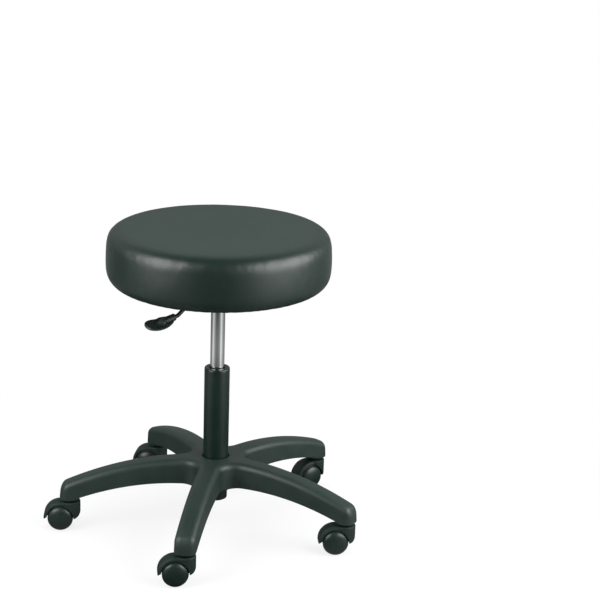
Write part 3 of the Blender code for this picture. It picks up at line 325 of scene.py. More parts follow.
def make_floor():
    """A pale floor that is white to the camera far off and keeps a soft shadow near the stool."""
    bm = bmesh.new()
    bmesh.ops.create_grid(bm, x_segments=4, y_segments=4, size=FLOOR_HALF)
    mesh = bpy.data.meshes.new("floor")
    bm.to_mesh(mesh)
    bm.free()
    tree = empty_tree(bpy.data.materials.new("pale_floor"))
    place = tree.add("ShaderNodeTexCoord", out="Object")
    far = vector(tree, "LENGTH", place)
    glow = spread(tree, far, *FLOOR_FADE, FLOOR_GLOW, 1.0, smooth=True)
    seen, mirrored, through = ray_kinds(tree)
    paint = tree.add("ShaderNodeBsdfDiffuse", None, {"Color": FLOOR_PAINT})
    strength = seen + through + mirrored * floor_level(tree, place, far)
    white = tree.add("ShaderNodeEmission", None, {"Color": WHITE, "Strength": strength})
    sockets = {0: seen * glow + mirrored + through, 1: paint, 2: white}
    mixed = tree.add("ShaderNodeMixShader", None, sockets)
    tree.add("ShaderNodeOutputMaterial", None, {"Surface": mixed})
    mesh.materials.append(tree.owner)
    link("floor", mesh)


make_floor()
print("floor reaches", FLOOR_HALF, "m to each side")

# %% [markdown]
# ## Finishes
#
# Nearly all of the stool is black, so its surfaces differ in texture and gloss more than in
# colour: soft pebbled vinyl, spark-textured nylon, smoother wheels, powder-coated steel and a
# plated cylinder. Each finish is a few noise textures on Object coordinates, which are metres
# here, so a scale of 1000 makes a pattern of about 1 mm.


# %% Helpers for finishes
def new_finish(name):
    """The empty tree of a new material."""
    return empty_tree(bpy.data.materials.new(name))


def grain(tree, scale, detail=2.0, stretch=(1, 1, 1)):
    """Noise from 0 to 1 on the piece's own coordinates, finer along axes with a larger stretch."""
    place = tree.add("ShaderNodeTexCoord", out="Object")
    if stretch != (1, 1, 1):
        place = tree.add("ShaderNodeMapping", None, {"Vector": place, "Scale": stretch})
    sockets = {"Vector": place, "Scale": scale, "Detail": detail}
    return tree.add("ShaderNodeTexNoise", None, sockets)


def between(tree, amount, first, second):
    """A colour between two, by an amount from 0 to 1."""
    sockets = {0: amount, 6: (*first, 1), 7: (*second, 1)}
    return tree.add("ShaderNodeMix", {"data_type": "RGBA"}, sockets, out=2)


def relief(tree, height, depth, strength):
    """A bump whose height runs from 0 to 1 over a depth in metres."""
    sockets = {"Height": height, "Distance": depth, "Strength": strength}
    return tree.add("ShaderNodeBump", None, sockets)


def close_finish(tree, **sockets):
    """Feed a Principled shader and the output. A socket's name has _ for each space."""
    named = {name.replace("_", " "): value for name, value in sockets.items()}
    shader = tree.add("ShaderNodeBsdfPrincipled", None, named)
    tree.add("ShaderNodeOutputMaterial", None, {"Surface": shader})
    print("finish:", tree.owner.name, "nodes:", len(tree.data.nodes))
    return tree.owner


# %% [markdown]
# ### Vinyl
#
# Upholstery vinyl is pressed with a leather grain: small flat pebbles with fine grooves between
# them. A Voronoi texture's distance to its cell edges gives the grooves, and a finer noise breaks
# the pebbles up. The sheen changes slowly over the cushion where the foam pulls the skin tighter.
# The top is painted paler than the sides. This is a painted sheen in place of the room that the top
# mirrors. The top is also more matt, so it stays even where the lamps would mirror in it.

# %% Vinyl finish
VINYL_DARK = (0.0033, 0.0118, 0.0089)
# The top's paler colour is painted sheen, in place of the room that the top mirrors.
VINYL_TOP_SHEEN = (0.0150, 0.0290, 0.0245)
TOP_SHEEN_REACH = (175 * MM, 203 * MM)
TOP_SHEEN_HEIGHT = (560 * MM, 600 * MM)


def make_vinyl():
    """Pebbled vinyl, with a painted sheen and more matt on the top of the seat."""
    tree = new_finish("black_vinyl")
    place = tree.add("ShaderNodeTexCoord", out="Object")
    warp = tree.add("ShaderNodeTexNoise", None, {"Vector": place, "Scale": 220.0}, out="Color")
    bent = vector(tree, "MULTIPLY_ADD", warp, (0.0025,) * 3, place)
    cells = {"Vector": bent, "Scale": 620.0, "Randomness": 0.9}
    grooves = tree.add("ShaderNodeTexVoronoi", {"feature": "DISTANCE_TO_EDGE"}, cells)
    pebble = spread(tree, grooves, 0.0, 0.16)
    fine = grain(tree, 2600.0, 3.0)
    broad = spread(tree, grain(tree, 9.0, 3.0), 0.3, 0.7)
    reach = vector(tree, "LENGTH", vector(tree, "MULTIPLY", place, (1, 1, 0)))
    height = tree.add("ShaderNodeSeparateXYZ", None, {0: place}, out="Z")
    # A mask of the seat's top, which gets the painted sheen in its colour and more roughness.
    top_sheen = (1 - spread(tree, reach, *TOP_SHEEN_REACH)) * spread(tree, height, *TOP_SHEEN_HEIGHT)
    mottle = broad * 0.7 + pebble * 0.3
    return close_finish(
        tree,
        Base_Color=between(tree, mottle * 0.16 + top_sheen * 0.84, VINYL_DARK, VINYL_TOP_SHEEN),
        Roughness=0.32 + broad * 0.06 + (1 - pebble) * 0.07 + top_sheen * 0.22,
        Normal=relief(tree, pebble * 0.8 + fine * 0.2, 0.12 * MM, 0.5),
        IOR=1.52,
    )


VINYL = make_vinyl()

# %% [markdown]
# ### Moulded nylon
#
# The base, the hoods, the wheels and the grip are moulded. The tool's surface is spark-eroded,
# which leaves an even matt grain a few tenths of a millimetre wide, and handling polishes it in
# patches. One recipe with other numbers serves them all. Each row holds the dark and the light
# tone, the roughness, and the pitch and depth of the grain in millimetres.

# %% Moulded finishes
MOULDED_IOR = 1.5
HOOD_IOR = 1.36
BASE_ROW = ((0.0087, 0.0198, 0.0160), (0.0125, 0.0254, 0.0210), 0.46, 0.55, 0.07)
HOOD_ROW = ((0.0060, 0.0155, 0.0124), (0.0087, 0.0196, 0.0161), 0.56, 0.45, 0.06)
WHEEL_ROW = ((0.0042, 0.0128, 0.0098), (0.0063, 0.0165, 0.0130), 0.36, 0.6, 0.02)
GRIP_ROW = ((0.0085, 0.0165, 0.0138), (0.0120, 0.0215, 0.0182), 0.42, 0.5, 0.04)
GUIDE_ROW = ((0.0058, 0.0125, 0.0102), (0.0085, 0.0165, 0.0138), 0.30, 0.5, 0.04)


def make_moulded(name, dark, light, roughness, pitch, depth, ior=MOULDED_IOR):
    """Moulded plastic with a spark-textured skin."""
    tree = new_finish(name)
    skin = grain(tree, 1000.0 / pitch)
    patch = spread(tree, grain(tree, 26.0, 4.0), 0.32, 0.68)
    scuff = spread(tree, grain(tree, 150.0, 5.0, (1, 1, 0.35)), 0.6, 0.78)
    return close_finish(
        tree,
        Base_Color=between(tree, patch * 0.75 + scuff * 0.25, dark, light),
        Roughness=roughness + patch * 0.06 - scuff * 0.04,
        Normal=relief(tree, skin, depth * MM, 0.45),
        IOR=ior,
    )


BASE_NYLON = make_moulded("base_nylon", *BASE_ROW)
HOOD_NYLON = make_moulded("hood_nylon", *HOOD_ROW, HOOD_IOR)
WHEEL_NYLON = make_moulded("wheel_nylon", *WHEEL_ROW)
GRIP_PLASTIC = make_moulded("grip_plastic", *GRIP_ROW)
GUIDE_PLASTIC = make_moulded("guide_plastic", *GUIDE_ROW)

# %% [markdown]
# ### Coated and plated steel
#
# The outer tube and the lever are powder-coated, with a faint orange peel. The gas cylinder is
# ground round and round before it is plated, so its fine lines run across it: noise that is drawn
# out along X and Y and packed along Z. Screws and stems are zinc plated and show a faint bluish
# cloud.


# %% Steel finishes
def make_coated():
    tree = new_finish("black_powder_coat")
    patch = spread(tree, grain(tree, 35.0, 3.0), 0.3, 0.7)
    return close_finish(
        tree,
        Base_Color=between(tree, patch, (0.0022, 0.0104, 0.0078), (0.0035, 0.0132, 0.0102)),
        Roughness=0.30 + patch * 0.06,
        Normal=relief(tree, grain(tree, 420.0), 0.10 * MM, 0.35),
        IOR=1.5,
    )


def make_plated():
    tree = new_finish("ground_plated_steel")
    lines = grain(tree, 40.0, 3.0, (1, 1, 160))
    cloud = spread(tree, grain(tree, 22.0, 3.0, (1, 1, 0.3)), 0.3, 0.7)
    return close_finish(
        tree,
        Base_Color=between(tree, cloud, (0.76, 0.79, 0.78), (0.84, 0.87, 0.86)),
        Roughness=0.10 + lines * 0.09 + cloud * 0.02,
        Metallic=1.0,
        Normal=relief(tree, lines, 0.02 * MM, 0.12),
    )


def make_zinc():
    tree = new_finish("zinc_plated_steel")
    cloud = spread(tree, grain(tree, 130.0, 4.0), 0.3, 0.7)
    return close_finish(
        tree,
        Base_Color=between(tree, cloud, (0.46, 0.48, 0.50), (0.60, 0.60, 0.58)),
        Roughness=0.28 + cloud * 0.14,
        Metallic=1.0,
        Normal=relief(tree, grain(tree, 900.0), 0.03 * MM, 0.3),
    )


COATED = make_coated()
PLATED = make_plated()
ZINC = make_zinc()

# %% [markdown]
# ### Plywood, foam and rubber
#
# The board is plywood that was stained black, so its long wavy grain shows only faintly. A wave
# texture, bent by noise, gives the rings, and drawn-out noise gives the fibre. Foam and rubber are
# inside, and need only their own colours.


# %% Plywood, foam and rubber finishes
def make_plywood():
    tree = new_finish("black_stained_plywood")
    sockets = {"Vector": tree.add("ShaderNodeTexCoord", out="Object"), "Scale": 16.0}
    sockets |= {"Distortion": 9.0, "Detail": 4.0, "Detail Scale": 0.7}
    settings = {"wave_type": "BANDS", "bands_direction": "Y"}
    rings = tree.add("ShaderNodeTexWave", settings, sockets)
    fibre = grain(tree, 90.0, 5.0, (0.12, 1, 1))
    amount = rings * 0.45 + fibre * 0.55
    return close_finish(
        tree,
        Base_Color=between(tree, amount, (0.014, 0.014, 0.012), (0.042, 0.038, 0.032)),
        Roughness=0.62 + fibre * 0.16,
        Normal=relief(tree, fibre, 0.25 * MM, 0.4),
    )


def make_matt(name, dark, light, roughness, scale):
    tree = new_finish(name)
    pores = grain(tree, scale, 4.0)
    return close_finish(
        tree,
        Base_Color=between(tree, spread(tree, pores, 0.3, 0.7), dark, light),
        Roughness=roughness + pores * 0.08,
        Normal=relief(tree, pores, 0.3 * MM, 0.5),
    )


PLYWOOD = make_plywood()
FOAM = make_matt("cushion_foam", (0.60, 0.53, 0.33), (0.76, 0.70, 0.48), 0.86, 700.0)
RUBBER = make_matt("black_rubber", (0.012, 0.012, 0.012), (0.022, 0.022, 0.022), 0.74, 900.0)

# %% [markdown]
# ## Building pieces
#
# Most of the stool is turned, so the first helpers round the corners of an outline and spin it. A
# piece ends as a plain mesh at the origin with its place in its vertices, as the solids have, and
# rides on a body.

# %% Helpers for outlines
ROUND_STEPS = 5


def mm(*corners):
    """Corners that are written in millimetres, in metres."""
    return [tuple(value * MM for value in corner) for corner in corners]


def arc(centre, radius, start, end, steps):
    """Points of an arc between two angles in degrees."""
    angles = [math.radians(start + (end - start) * i / steps) for i in range(steps + 1)]
    x, y = centre
    return [Vector((x + radius * math.cos(a), y + radius * math.sin(a))) for a in angles]


def rounded(corners, steps=ROUND_STEPS):
    """An open outline of (x, y) corners, rounded where a corner has a radius as a third value."""
    points = [Vector(corners[0][:2])]
    for before, corner, after in zip(corners, corners[1:], corners[2:]):
        at = Vector(corner[:2])
        if len(corner) < 3:
            points.append(at)
            continue
        back = (Vector(before[:2]) - at).normalized()
        ahead = (Vector(after[:2]) - at).normalized()
        half = back.angle(ahead) / 2
        centre = at + (back + ahead).normalized() * corner[2] / math.sin(half)
        run = corner[2] / math.tan(half)
        first = (at + back * run - centre).normalized()
        last = (at + ahead * run - centre).normalized()
        points += [centre + corner[2] * first.slerp(last, i / steps) for i in range(steps + 1)]
    points.append(Vector(corners[-1][:2]))
    return points


print("points of one rounded corner:", len(rounded(mm((0, 0), (10, 0, 2), (10, 10)))) - 2)

# %% Helpers for meshes
SHARP = 32
ON_AXIS = 1e-7
SAME_SPOT = 0.01 * MM
TURN_STEPS = 96


def soften(piece, sharp=SHARP):
    """Smooth shading that breaks at edges sharper than an angle in degrees."""
    piece.data.shade_smooth()
    piece.data.set_sharp_from_angle(angle=math.radians(sharp))
    return piece


def mesh_piece(name, bm, sharp=SHARP):
    """Link a bmesh as an object, with its faces turned outwards."""
    bmesh.ops.recalc_face_normals(bm, faces=bm.faces[:])
    mesh = bpy.data.meshes.new(name)
    bm.to_mesh(mesh)
    bm.free()
    return soften(link(name, mesh), sharp)


def bridge(bm, row, following, closed=True):
    """Faces between two rows of points, either of which may be a single point."""
    count = max(len(row), len(following))
    for i in range(count if closed else count - 1):
        j = (i + 1) % count
        corners = [row[i % len(row)], row[j % len(row)]]
        corners += [following[j % len(following)], following[i % len(following)]]
        bm.faces.new(list(dict.fromkeys(corners)))


def turned(name, outline, steps=TURN_STEPS):
    """Spin (radius, height) points round Z. They end on the axis twice, or close into a ring."""
    bm = bmesh.new()
    turns = [2 * math.pi * i / steps for i in range(steps)]
    rings = []
    for radius, height in outline:
        places = [(radius * math.cos(a), radius * math.sin(a), height) for a in turns]
        if radius < ON_AXIS:
            places = [(0, 0, height)]
        rings.append([bm.verts.new(place) for place in places])
    for ring, following in zip(rings, rings[1:]):
        bridge(bm, ring, following)
    if len(rings[0]) > 1:
        bridge(bm, rings[-1], rings[0])
    return mesh_piece(name, bm)


print("steps round a turned piece:", TURN_STEPS)


# %% Helpers for modifiers
def freeze(piece):
    """Keep what an object's modifiers or curve settings make of it as a plain mesh object."""
    bpy.context.view_layer.update()
    made = piece.evaluated_get(bpy.context.evaluated_depsgraph_get())
    mesh = bpy.data.meshes.new_from_object(made)
    name = piece.name
    bpy.data.objects.remove(piece)
    return link(name, mesh)


def modify(piece, kind, **settings):
    """Add a modifier with its settings."""
    modifier = piece.modifiers.new(kind, kind)
    for name, value in settings.items():
        setattr(modifier, name, value)
    return modifier


def carve(piece, operation, *others):
    """Cut, join or intersect a piece with helpers, which are then removed."""
    for other in others:
        modify(piece, "BOOLEAN", operation=operation, solver="EXACT", object=other)
    piece = freeze(piece)
    for other in others:
        bpy.data.objects.remove(other)
    return piece


def merge(piece):
    """Merge points that share a spot, and turn every face outwards."""
    bm = bmesh.new()
    bm.from_mesh(piece.data)
    bmesh.ops.remove_doubles(bm, verts=bm.verts[:], dist=SAME_SPOT)
    bmesh.ops.recalc_face_normals(bm, faces=bm.faces[:])
    bm.to_mesh(piece.data)
    bm.free()


def ease(piece, width, segments=3):
    """Round the sharp edges of a piece."""
    merge(piece)
    limit = {"limit_method": "ANGLE", "angle_limit": math.radians(35)}
    modify(piece, "BEVEL", **limit, width=width, segments=segments)
    return soften(freeze(piece), 45)


# %% Helpers for curves
def drawn(name, points, closed, **settings):
    """A curve through points, with its settings, kept as a mesh."""
    curve = bpy.data.curves.new(name, "CURVE")
    for setting, value in settings.items():
        setattr(curve, setting, value)
    spline = curve.splines.new("POLY")
    spline.points.add(len(points) - 1)
    for knot, point in zip(spline.points, points):
        knot.co = (*point, 1)
    spline.use_cyclic_u = closed
    return freeze(link(name, curve))


def slab(name, outline, bottom, top, rounding=0.0):
    """A flat outline, extruded upright between two heights, with its rims rounded."""
    shape = {"dimensions": "2D", "fill_mode": "BOTH", "extrude": (top - bottom) / 2 - rounding}
    rims = {"bevel_depth": rounding, "bevel_resolution": 3, "offset": -rounding}
    piece = drawn(name, [(x, y, 0) for x, y in outline], True, **shape, **rims)
    piece.data.transform(Matrix.Translation((0, 0, (bottom + top) / 2)))
    merge(piece)
    return soften(piece)


def dress(piece, body, finish, *nodes):
    """Give a piece its finish, hang it on a body, and hide the solids that it stands for."""
    piece.data.materials.clear()
    piece.data.materials.append(finish)
    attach(piece, body)
    if nodes:
        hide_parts(*nodes)
    print(piece.name, "rides on", body, "faces:", len(piece.data.polygons))
    return piece


# %% [markdown]
# ## What repeats round an axis
#
# Five arms, five sets of ribs, four bolts and a ring of staples all stand round one axis. One
# geometry tree deals out copies of whatever mesh it is given: a point for each copy, an angle from
# the point's index, and a little seeded wobble for things that a hand puts in. The copies are
# realised and welded where they meet.

# %% A tree that deals copies round an axis
WOBBLE_SEED = 7
DEALER_INPUTS = {
    "Geometry": "Geometry",
    "Count": "Int",
    "First Angle": "Float",
    "Wobble": "Float",
    "Weld": "Float",
    "Finish": "Material",
}


def make_dealer():
    group = bpy.data.node_groups.new("deal_round_axis", "GeometryNodeTree")
    group.interface.new_socket("Geometry", in_out="OUTPUT", socket_type="NodeSocketGeometry")
    for label, kind in DEALER_INPUTS.items():
        group.interface.new_socket(label, in_out="INPUT", socket_type=f"NodeSocket{kind}")
    tree = Tree(group)
    given = {label: tree.add("NodeGroupInput", out=label) for label in DEALER_INPUTS}
    points = tree.add("GeometryNodePoints", None, {"Count": given["Count"]})
    index = tree.add("GeometryNodeInputIndex")
    limits = {"Min": -1.0, "Max": 1.0, "Seed": WOBBLE_SEED}
    chance = tree.add("FunctionNodeRandomValue", {"data_type": "FLOAT"}, limits, out=1)
    turn = given["First Angle"] + index * (2 * math.pi / given["Count"]) + chance * given["Wobble"]
    spin = tree.add("ShaderNodeCombineXYZ", None, {"Z": turn})
    rotation = tree.add("FunctionNodeEulerToRotation", None, {"Euler": spin})
    sockets = {"Points": points, "Instance": given["Geometry"], "Rotation": rotation}
    copies = tree.add("GeometryNodeInstanceOnPoints", None, sockets)
    real = tree.add("GeometryNodeRealizeInstances", None, {"Geometry": copies})
    sockets = {"Geometry": real, "Distance": given["Weld"]}
    welded = tree.add("GeometryNodeMergeByDistance", None, sockets)
    sockets = {"Geometry": welded, "Material": given["Finish"]}
    painted = tree.add("GeometryNodeSetMaterial", None, sockets)
    tree.add("NodeGroupOutput", None, {"Geometry": painted})
    return group


DEALER = make_dealer()


def deal(name, source, count, finish, first=0.0, wobble=0.0, weld=SAME_SPOT):
    """Deal copies of a mesh round Z, and keep them as one plain mesh."""
    modifier = modify(source, "NODES", node_group=DEALER)
    values = {"Count": count, "First Angle": first, "Wobble": wobble}
    values |= {"Weld": weld, "Finish": finish}
    for item in DEALER.interface.items_tree:
        if item.in_out == "INPUT" and item.name in values:
            modifier[item.identifier] = values[item.name]
    source.name = name
    return freeze(source)


print("inputs of the dealing tree:", ", ".join(DEALER_INPUTS))

# %% [markdown]
# ## The five-arm base
#
# Each arm is a deep channel, moulded open below: a flat top that sweeps down to the tip, soft
# shoulders and nearly upright flanks, with a generous fillet into the next arm. The plan is drawn
# once for half an arm, as points with the direction that each faces. Rings of it, drawn in step by
# step over the shoulder, are skinned to one fifth of the base, and the tree above deals out all
# five. Solidify then gives the skin its wall.

# %% Heights and width of an arm
ARMS = 5
ARM_STEP = 2 * math.pi / ARMS
FIRST_ARM = -math.pi / 2
STEM_CIRCLE = 287.6 * MM
TIP_BOTTOM = 62.5 * MM
TIP_END = STEM_CIRCLE + 19.6 * MM
TIP_CORNER = 15 * MM
TIP_ROUND = 11 * MM
TIP_LIP = 2.5 * MM
ARM_TOP = 143 * MM
ARM_TIP_TOP = 101.5 * MM
ARM_FLAT = 70 * MM
ARM_UNDER = 95.5 * MM
ARM_TIP_UNDER = 64.6 * MM
UNDER_CREST = 110 * MM
ROOT_HALF = 23 * MM
TIP_HALF = 20 * MM
FILLET = 30 * MM
FLANK_SLOPE = (TIP_HALF - ROOT_HALF) / STEM_CIRCLE


def arm_top(reach):
    """Height of an arm's top at a distance from the column."""
    share = max(0.0, reach - ARM_FLAT) / (STEM_CIRCLE - ARM_FLAT)
    past = min(max(0.0, reach - TIP_END + TIP_ROUND), TIP_ROUND)
    swept = ARM_TOP - (ARM_TOP - ARM_TIP_TOP) * share**2
    return swept - TIP_ROUND + math.sqrt(TIP_ROUND**2 - past**2)


def arm_under(reach):
    """Height of an arm's lower edge at a distance from the column."""
    share = (reach - UNDER_CREST) / (STEM_CIRCLE - UNDER_CREST)
    return max(ARM_UNDER - (ARM_UNDER - ARM_TIP_UNDER) * share**2, TIP_BOTTOM + TIP_LIP)


def half_width(reach):
    """Half the width of an arm at a distance from the column."""
    return ROOT_HALF + FLANK_SLOPE * reach


print("height of an arm over its caster in mm:", round(arm_top(STEM_CIRCLE) / MM, 1))

# %% Plan of half an arm
FLANK_STEPS = 36


def half_arm():
    """One side of an arm in plan, from the bisector to the tip, as (point, outward) pairs."""
    flank = Vector((-FLANK_SLOPE, 1)).normalized()
    half = ARM_STEP / 2
    lean = math.sqrt(1 + FLANK_SLOPE**2)
    away = (FILLET * lean + ROOT_HALF) / (math.sin(half) - FLANK_SLOPE * math.cos(half))
    centre = Vector((away * math.cos(half), away * math.sin(half)))
    last = math.degrees(math.atan2(-flank.y, -flank.x)) + 360
    fillet = arc(centre, FILLET, 180 + 36, last, 14)
    sides = [(point, (centre - point).normalized()) for point in fillet]
    root = sides[-1][0].x
    tip = TIP_END - TIP_CORNER
    corner = Vector((tip, half_width(tip) - TIP_CORNER))
    for i in range(1, FLANK_STEPS):
        reach = root + (corner.x - root) * i / FLANK_STEPS
        sides.append((Vector((reach, half_width(reach))), flank))
    rounding = arc(corner, TIP_CORNER, 90, 0, 10)
    return sides + [(point, (point - corner).normalized()) for point in rounding]


print("points along half an arm:", len(half_arm()))

# %% Skin of the base
DRAFT = 0.8 * MM
SHOULDER = 13 * MM
SHOULDER_STEPS = 9
WALL = 4 * MM


def make_arm_skin():
    """One fifth of the base's skin: flanks, shoulders and top of one arm, open below."""
    half = half_arm()
    rings = [(-DRAFT, None)]
    for i in range(SHOULDER_STEPS + 1):
        lean = math.pi / 2 * i / SHOULDER_STEPS
        rings.append((SHOULDER * (1 - math.cos(lean)), SHOULDER * (1 - math.sin(lean))))
    bm = bmesh.new()
    rows = []
    for inset, drop in rings:
        row = []
        for side, points in ((-1, half), (1, half[::-1])):
            for point, outward in points:
                moved = point - outward * inset
                height = arm_under(point.x) if drop is None else arm_top(moved.x) - drop
                row.append(bm.verts.new((moved.x, side * moved.y, height)))
        rows.append(row)
    for row, following in zip(rows, rows[1:]):
        bridge(bm, row, following, closed=False)
    top = rows[-1]
    for i in range(len(half) - 1):
        bm.faces.new((top[i], top[i + 1], top[-2 - i], top[-1 - i]))
    hub = bm.verts.new((0, 0, ARM_TOP))
    bm.faces.new((hub, top[0], top[-1]))
    return mesh_piece("arm_skin", bm)


def make_base_skin():
    """The whole base: five arms, a wall inside the skin, and the recess for the column."""
    skin = deal("base_shell", make_arm_skin(), ARMS, BASE_NYLON, FIRST_ARM, weld=0.05 * MM)
    modify(skin, "SOLIDIFY", thickness=WALL, offset=-1, use_even_offset=True)
    skin = freeze(skin)
    recess = mm((0, 150), (27.2, 150)) + [(27.2 * MM, ARM_TOP)]
    recess += mm((25.8, 141.4), (24.9, 137), (24.9, 120), (0, 120))
    skin = carve(skin, "DIFFERENCE", turned("hub_recess", recess, 72))
    dress(soften(skin, 38), "base", BASE_NYLON, "star_base")


make_base_skin()

# %% [markdown]
# ### Ribs, bosses and hub
#
# Turned over, the base shows how it is stiffened: a rib down the middle of each arm, ribs across
# it, a round boss that takes the caster's stem, and the sleeve round the column. The ribs of one
# arm are plates that follow its sweep, and are dealt round the hub like the skin.

# %% Ribs of the base
HUB_CORE = 37 * MM
BOSS_RADIUS = 19 * MM
RIB = 3 * MM
RIB_STEPS = 24
CROSS_RIBS = 4


def make_arm_ribs():
    """The ribs of one arm: one along it and four across."""
    bm = bmesh.new()

    def plate(rims):
        loops = [[bm.verts.new(corner) for corner in rim] for rim in rims]
        for loop, following in zip(loops, loops[1:]):
            bridge(bm, loop, following)
        bm.faces.new(loops[0])
        bm.faces.new(loops[-1])

    end = STEM_CIRCLE - BOSS_RADIUS + 3 * MM
    rims = []
    for i in range(RIB_STEPS + 1):
        reach = HUB_CORE - 3 * MM + (end - HUB_CORE + 3 * MM) * i / RIB_STEPS
        low = arm_under(reach) + 3 * MM
        high = arm_top(reach) - WALL + 1 * MM
        corners = ((-RIB / 2, low), (RIB / 2, low), (RIB / 2, high), (-RIB / 2, high))
        rims.append([(reach, y, z) for y, z in corners])
    plate(rims)
    for i in range(1, CROSS_RIBS + 1):
        reach = HUB_CORE + (STEM_CIRCLE - BOSS_RADIUS - HUB_CORE) * i / CROSS_RIBS
        reach -= 2 * MM if i == CROSS_RIBS else 0
        wide = half_width(reach) - WALL / 2
        low = arm_under(reach) + 4 * MM
        high = arm_top(reach) - WALL
        corners = [(-wide - 1 * MM, low), (wide + 1 * MM, low)]
        corners += [(wide - 5 * MM, high), (5 * MM - wide, high)]
        plate([[(reach + along, y, z) for y, z in corners] for along in (-RIB / 2, RIB / 2)])
    return mesh_piece("arm_ribs", bm)


base_ribs = deal("base_ribs", make_arm_ribs(), ARMS, BASE_NYLON, FIRST_ARM)
dress(base_ribs, "base", BASE_NYLON)

# %% Bosses and hub of the base
BOSS_TOP = 86 * MM
STEM_BORE = 5.8 * MM
SLEEVE_RADIUS = 28.5 * MM


def make_bosses():
    """Stem bosses and hub sleeve, which ride with the shell."""
    outline = [
        (STEM_BORE, BOSS_TOP),
        (BOSS_RADIUS - 3 * MM, BOSS_TOP),
        (BOSS_RADIUS, 72 * MM),
        (BOSS_RADIUS, TIP_BOTTOM, 1.6 * MM),
        (6.6 * MM, TIP_BOTTOM),
        (STEM_BORE, TIP_BOTTOM + 0.8 * MM),
    ]
    boss = turned("boss", rounded(outline), 64)
    boss.data.transform(Matrix.Translation((STEM_CIRCLE, 0, 0)))
    dress(deal("stem_bosses", boss, ARMS, BASE_NYLON, FIRST_ARM), "base", BASE_NYLON)
    outline = [
        (24.9 * MM, 137 * MM),
        (HUB_CORE, 139.5 * MM),
        (HUB_CORE, ARM_UNDER + 4 * MM, 2 * MM),
        (SLEEVE_RADIUS, ARM_UNDER + 3 * MM, 2 * MM),
        (SLEEVE_RADIUS, 73 * MM, 1.2 * MM),
        *mm((24.1, 73, 0.6), (24.3, 90)),
    ]
    dress(turned("hub_sleeve", rounded(outline)), "base", BASE_NYLON)


make_bosses()

# %% [markdown]
# ## The gas lift
#
# Three turned tubes: the coated outer tube, tapered where the base holds it, the moulded guide
# whose round collar caps it, and the plated pressure cylinder that slides in the guide. Each could
# be a stack of cylinders, but spinning one outline keeps its walls, tapers and small roundings in
# one closed shape. The foot of the piston rod shows under the base, held by its clip, which is a
# flat outline with a mouth, extruded.

# %% Column
TUBE_STEPS = 128


def make_column():
    tube = mm((23, 323.4), (23.6, 324), (25, 324, 0.7), (25, 170), (23.6, 54, 1.5))
    tube += mm((4.6, 54), (4.6, 57), (21.6, 57), (23, 170))
    guide = mm((14.45, 244), (14.45, 324.6), (16.6, 327.6, 0.8), (18.6, 328.3, 0.8))
    guide += mm((25, 328.3, 3.2), (25, 324.3, 0.3), (22.7, 324.3), (22.7, 243, 1))
    guide += mm((14.6, 243, 0.3), (14.45, 243.6))
    cylinder = mm((3.5, 481.5), (13.33, 481.5, 0.8), (14, 448), (14, 205, 0.8))
    cylinder += mm((12.5, 205), (12.5, 469.5), (3.5, 469.5))
    for name, outline, body, finish, node in (
        ("column_tube_skin", tube, "base", COATED, "column_tube"),
        ("guide_collar", guide, "base", GUIDE_PLASTIC, "guide_bush"),
        ("pressure_cylinder", cylinder, "seat", PLATED, "gas_cylinder"),
    ):
        dress(turned(name, rounded(outline), TUBE_STEPS), body, finish, node)


make_column()

# %% Foot of the piston rod
ROD_RADIUS = 4 * MM
CLIP_RADIUS = 9 * MM
CLIP_MOUTH = 0.62 * CLIP_RADIUS
PLAY = 0.3 * MM


def make_rod_foot():
    """The turned rod end with its groove, and the spring clip that holds it under the tube."""
    low, high = (corner.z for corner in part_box("piston_rod"))
    clip_low, clip_high = (corner.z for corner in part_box("retaining_clip"))
    rod = [
        (0, high),
        (ROD_RADIUS, high, 0.5 * MM),
        (ROD_RADIUS, high - 15.3 * MM),
        (5 * MM, high - 15.3 * MM),
        *mm((5, 65.2), (4, 65.2), (4, 54), (3, 54)),
        (3 * MM, clip_low - PLAY),
        (ROD_RADIUS, clip_low - PLAY, 0.2 * MM),
        (ROD_RADIUS, low, 0.8 * MM),
        (0, low),
    ]
    dress(turned("rod_and_foot", rounded(rod), 48), "lift_rod", ZINC, "piston_rod")
    outline = arc((0, 0), CLIP_RADIUS, 22, 338, 40)
    outline += [(CLIP_MOUTH, -2.9 * MM), *mm((2.2, -2.6))]
    outline += arc((0, 0), 3.35 * MM, 310, 50, 24)
    outline += [*mm((2.2, 2.6)), (CLIP_MOUTH, 2.9 * MM)]
    clip = slab("spring_clip", outline, clip_low + 0.1 * MM, clip_high - 0.1 * MM, 0.25 * MM)
    dress(clip, "lift_rod", ZINC, "retaining_clip")


make_rod_foot()

# %% [markdown]
# ## The casters
#
# A caster is a moulded hood on a steel stem, with a wheel on each side of the hood's middle web.
# The hood is made of two blocks: a crown, extruded from its side outline with rounded rims, and a
# wider round nose that holds the stem. Both are joined, and the two wheel wells are cut out of the
# sides. A join or a cut between faces that lie in one plane can leave a shape open, so the nose is
# drawn a hair apart from the crown's faces. The wheels are turned: a tread, a fine groove and a
# round dome. Each caster is swung to the way it stands in the picture.

# %% Blocks of a hood
WHEEL_RADIUS = 25 * MM
TRAIL = 19 * MM
AXLE = (TRAIL, WHEEL_RADIUS)
HOOD_RADIUS = 33 * MM
HOOD_HALF = 16 * MM
HOOD_TOP = 58.5 * MM
CROWN_ROUND = 5 * MM
NOSE_RADIUS = 20 * MM
NOSE_ROUND = 2.5 * MM
WELL_RADIUS = 26.3 * MM
WEB_HALF = 8.5 * MM
BEYOND = 30 * MM
HAIR = 0.05 * MM


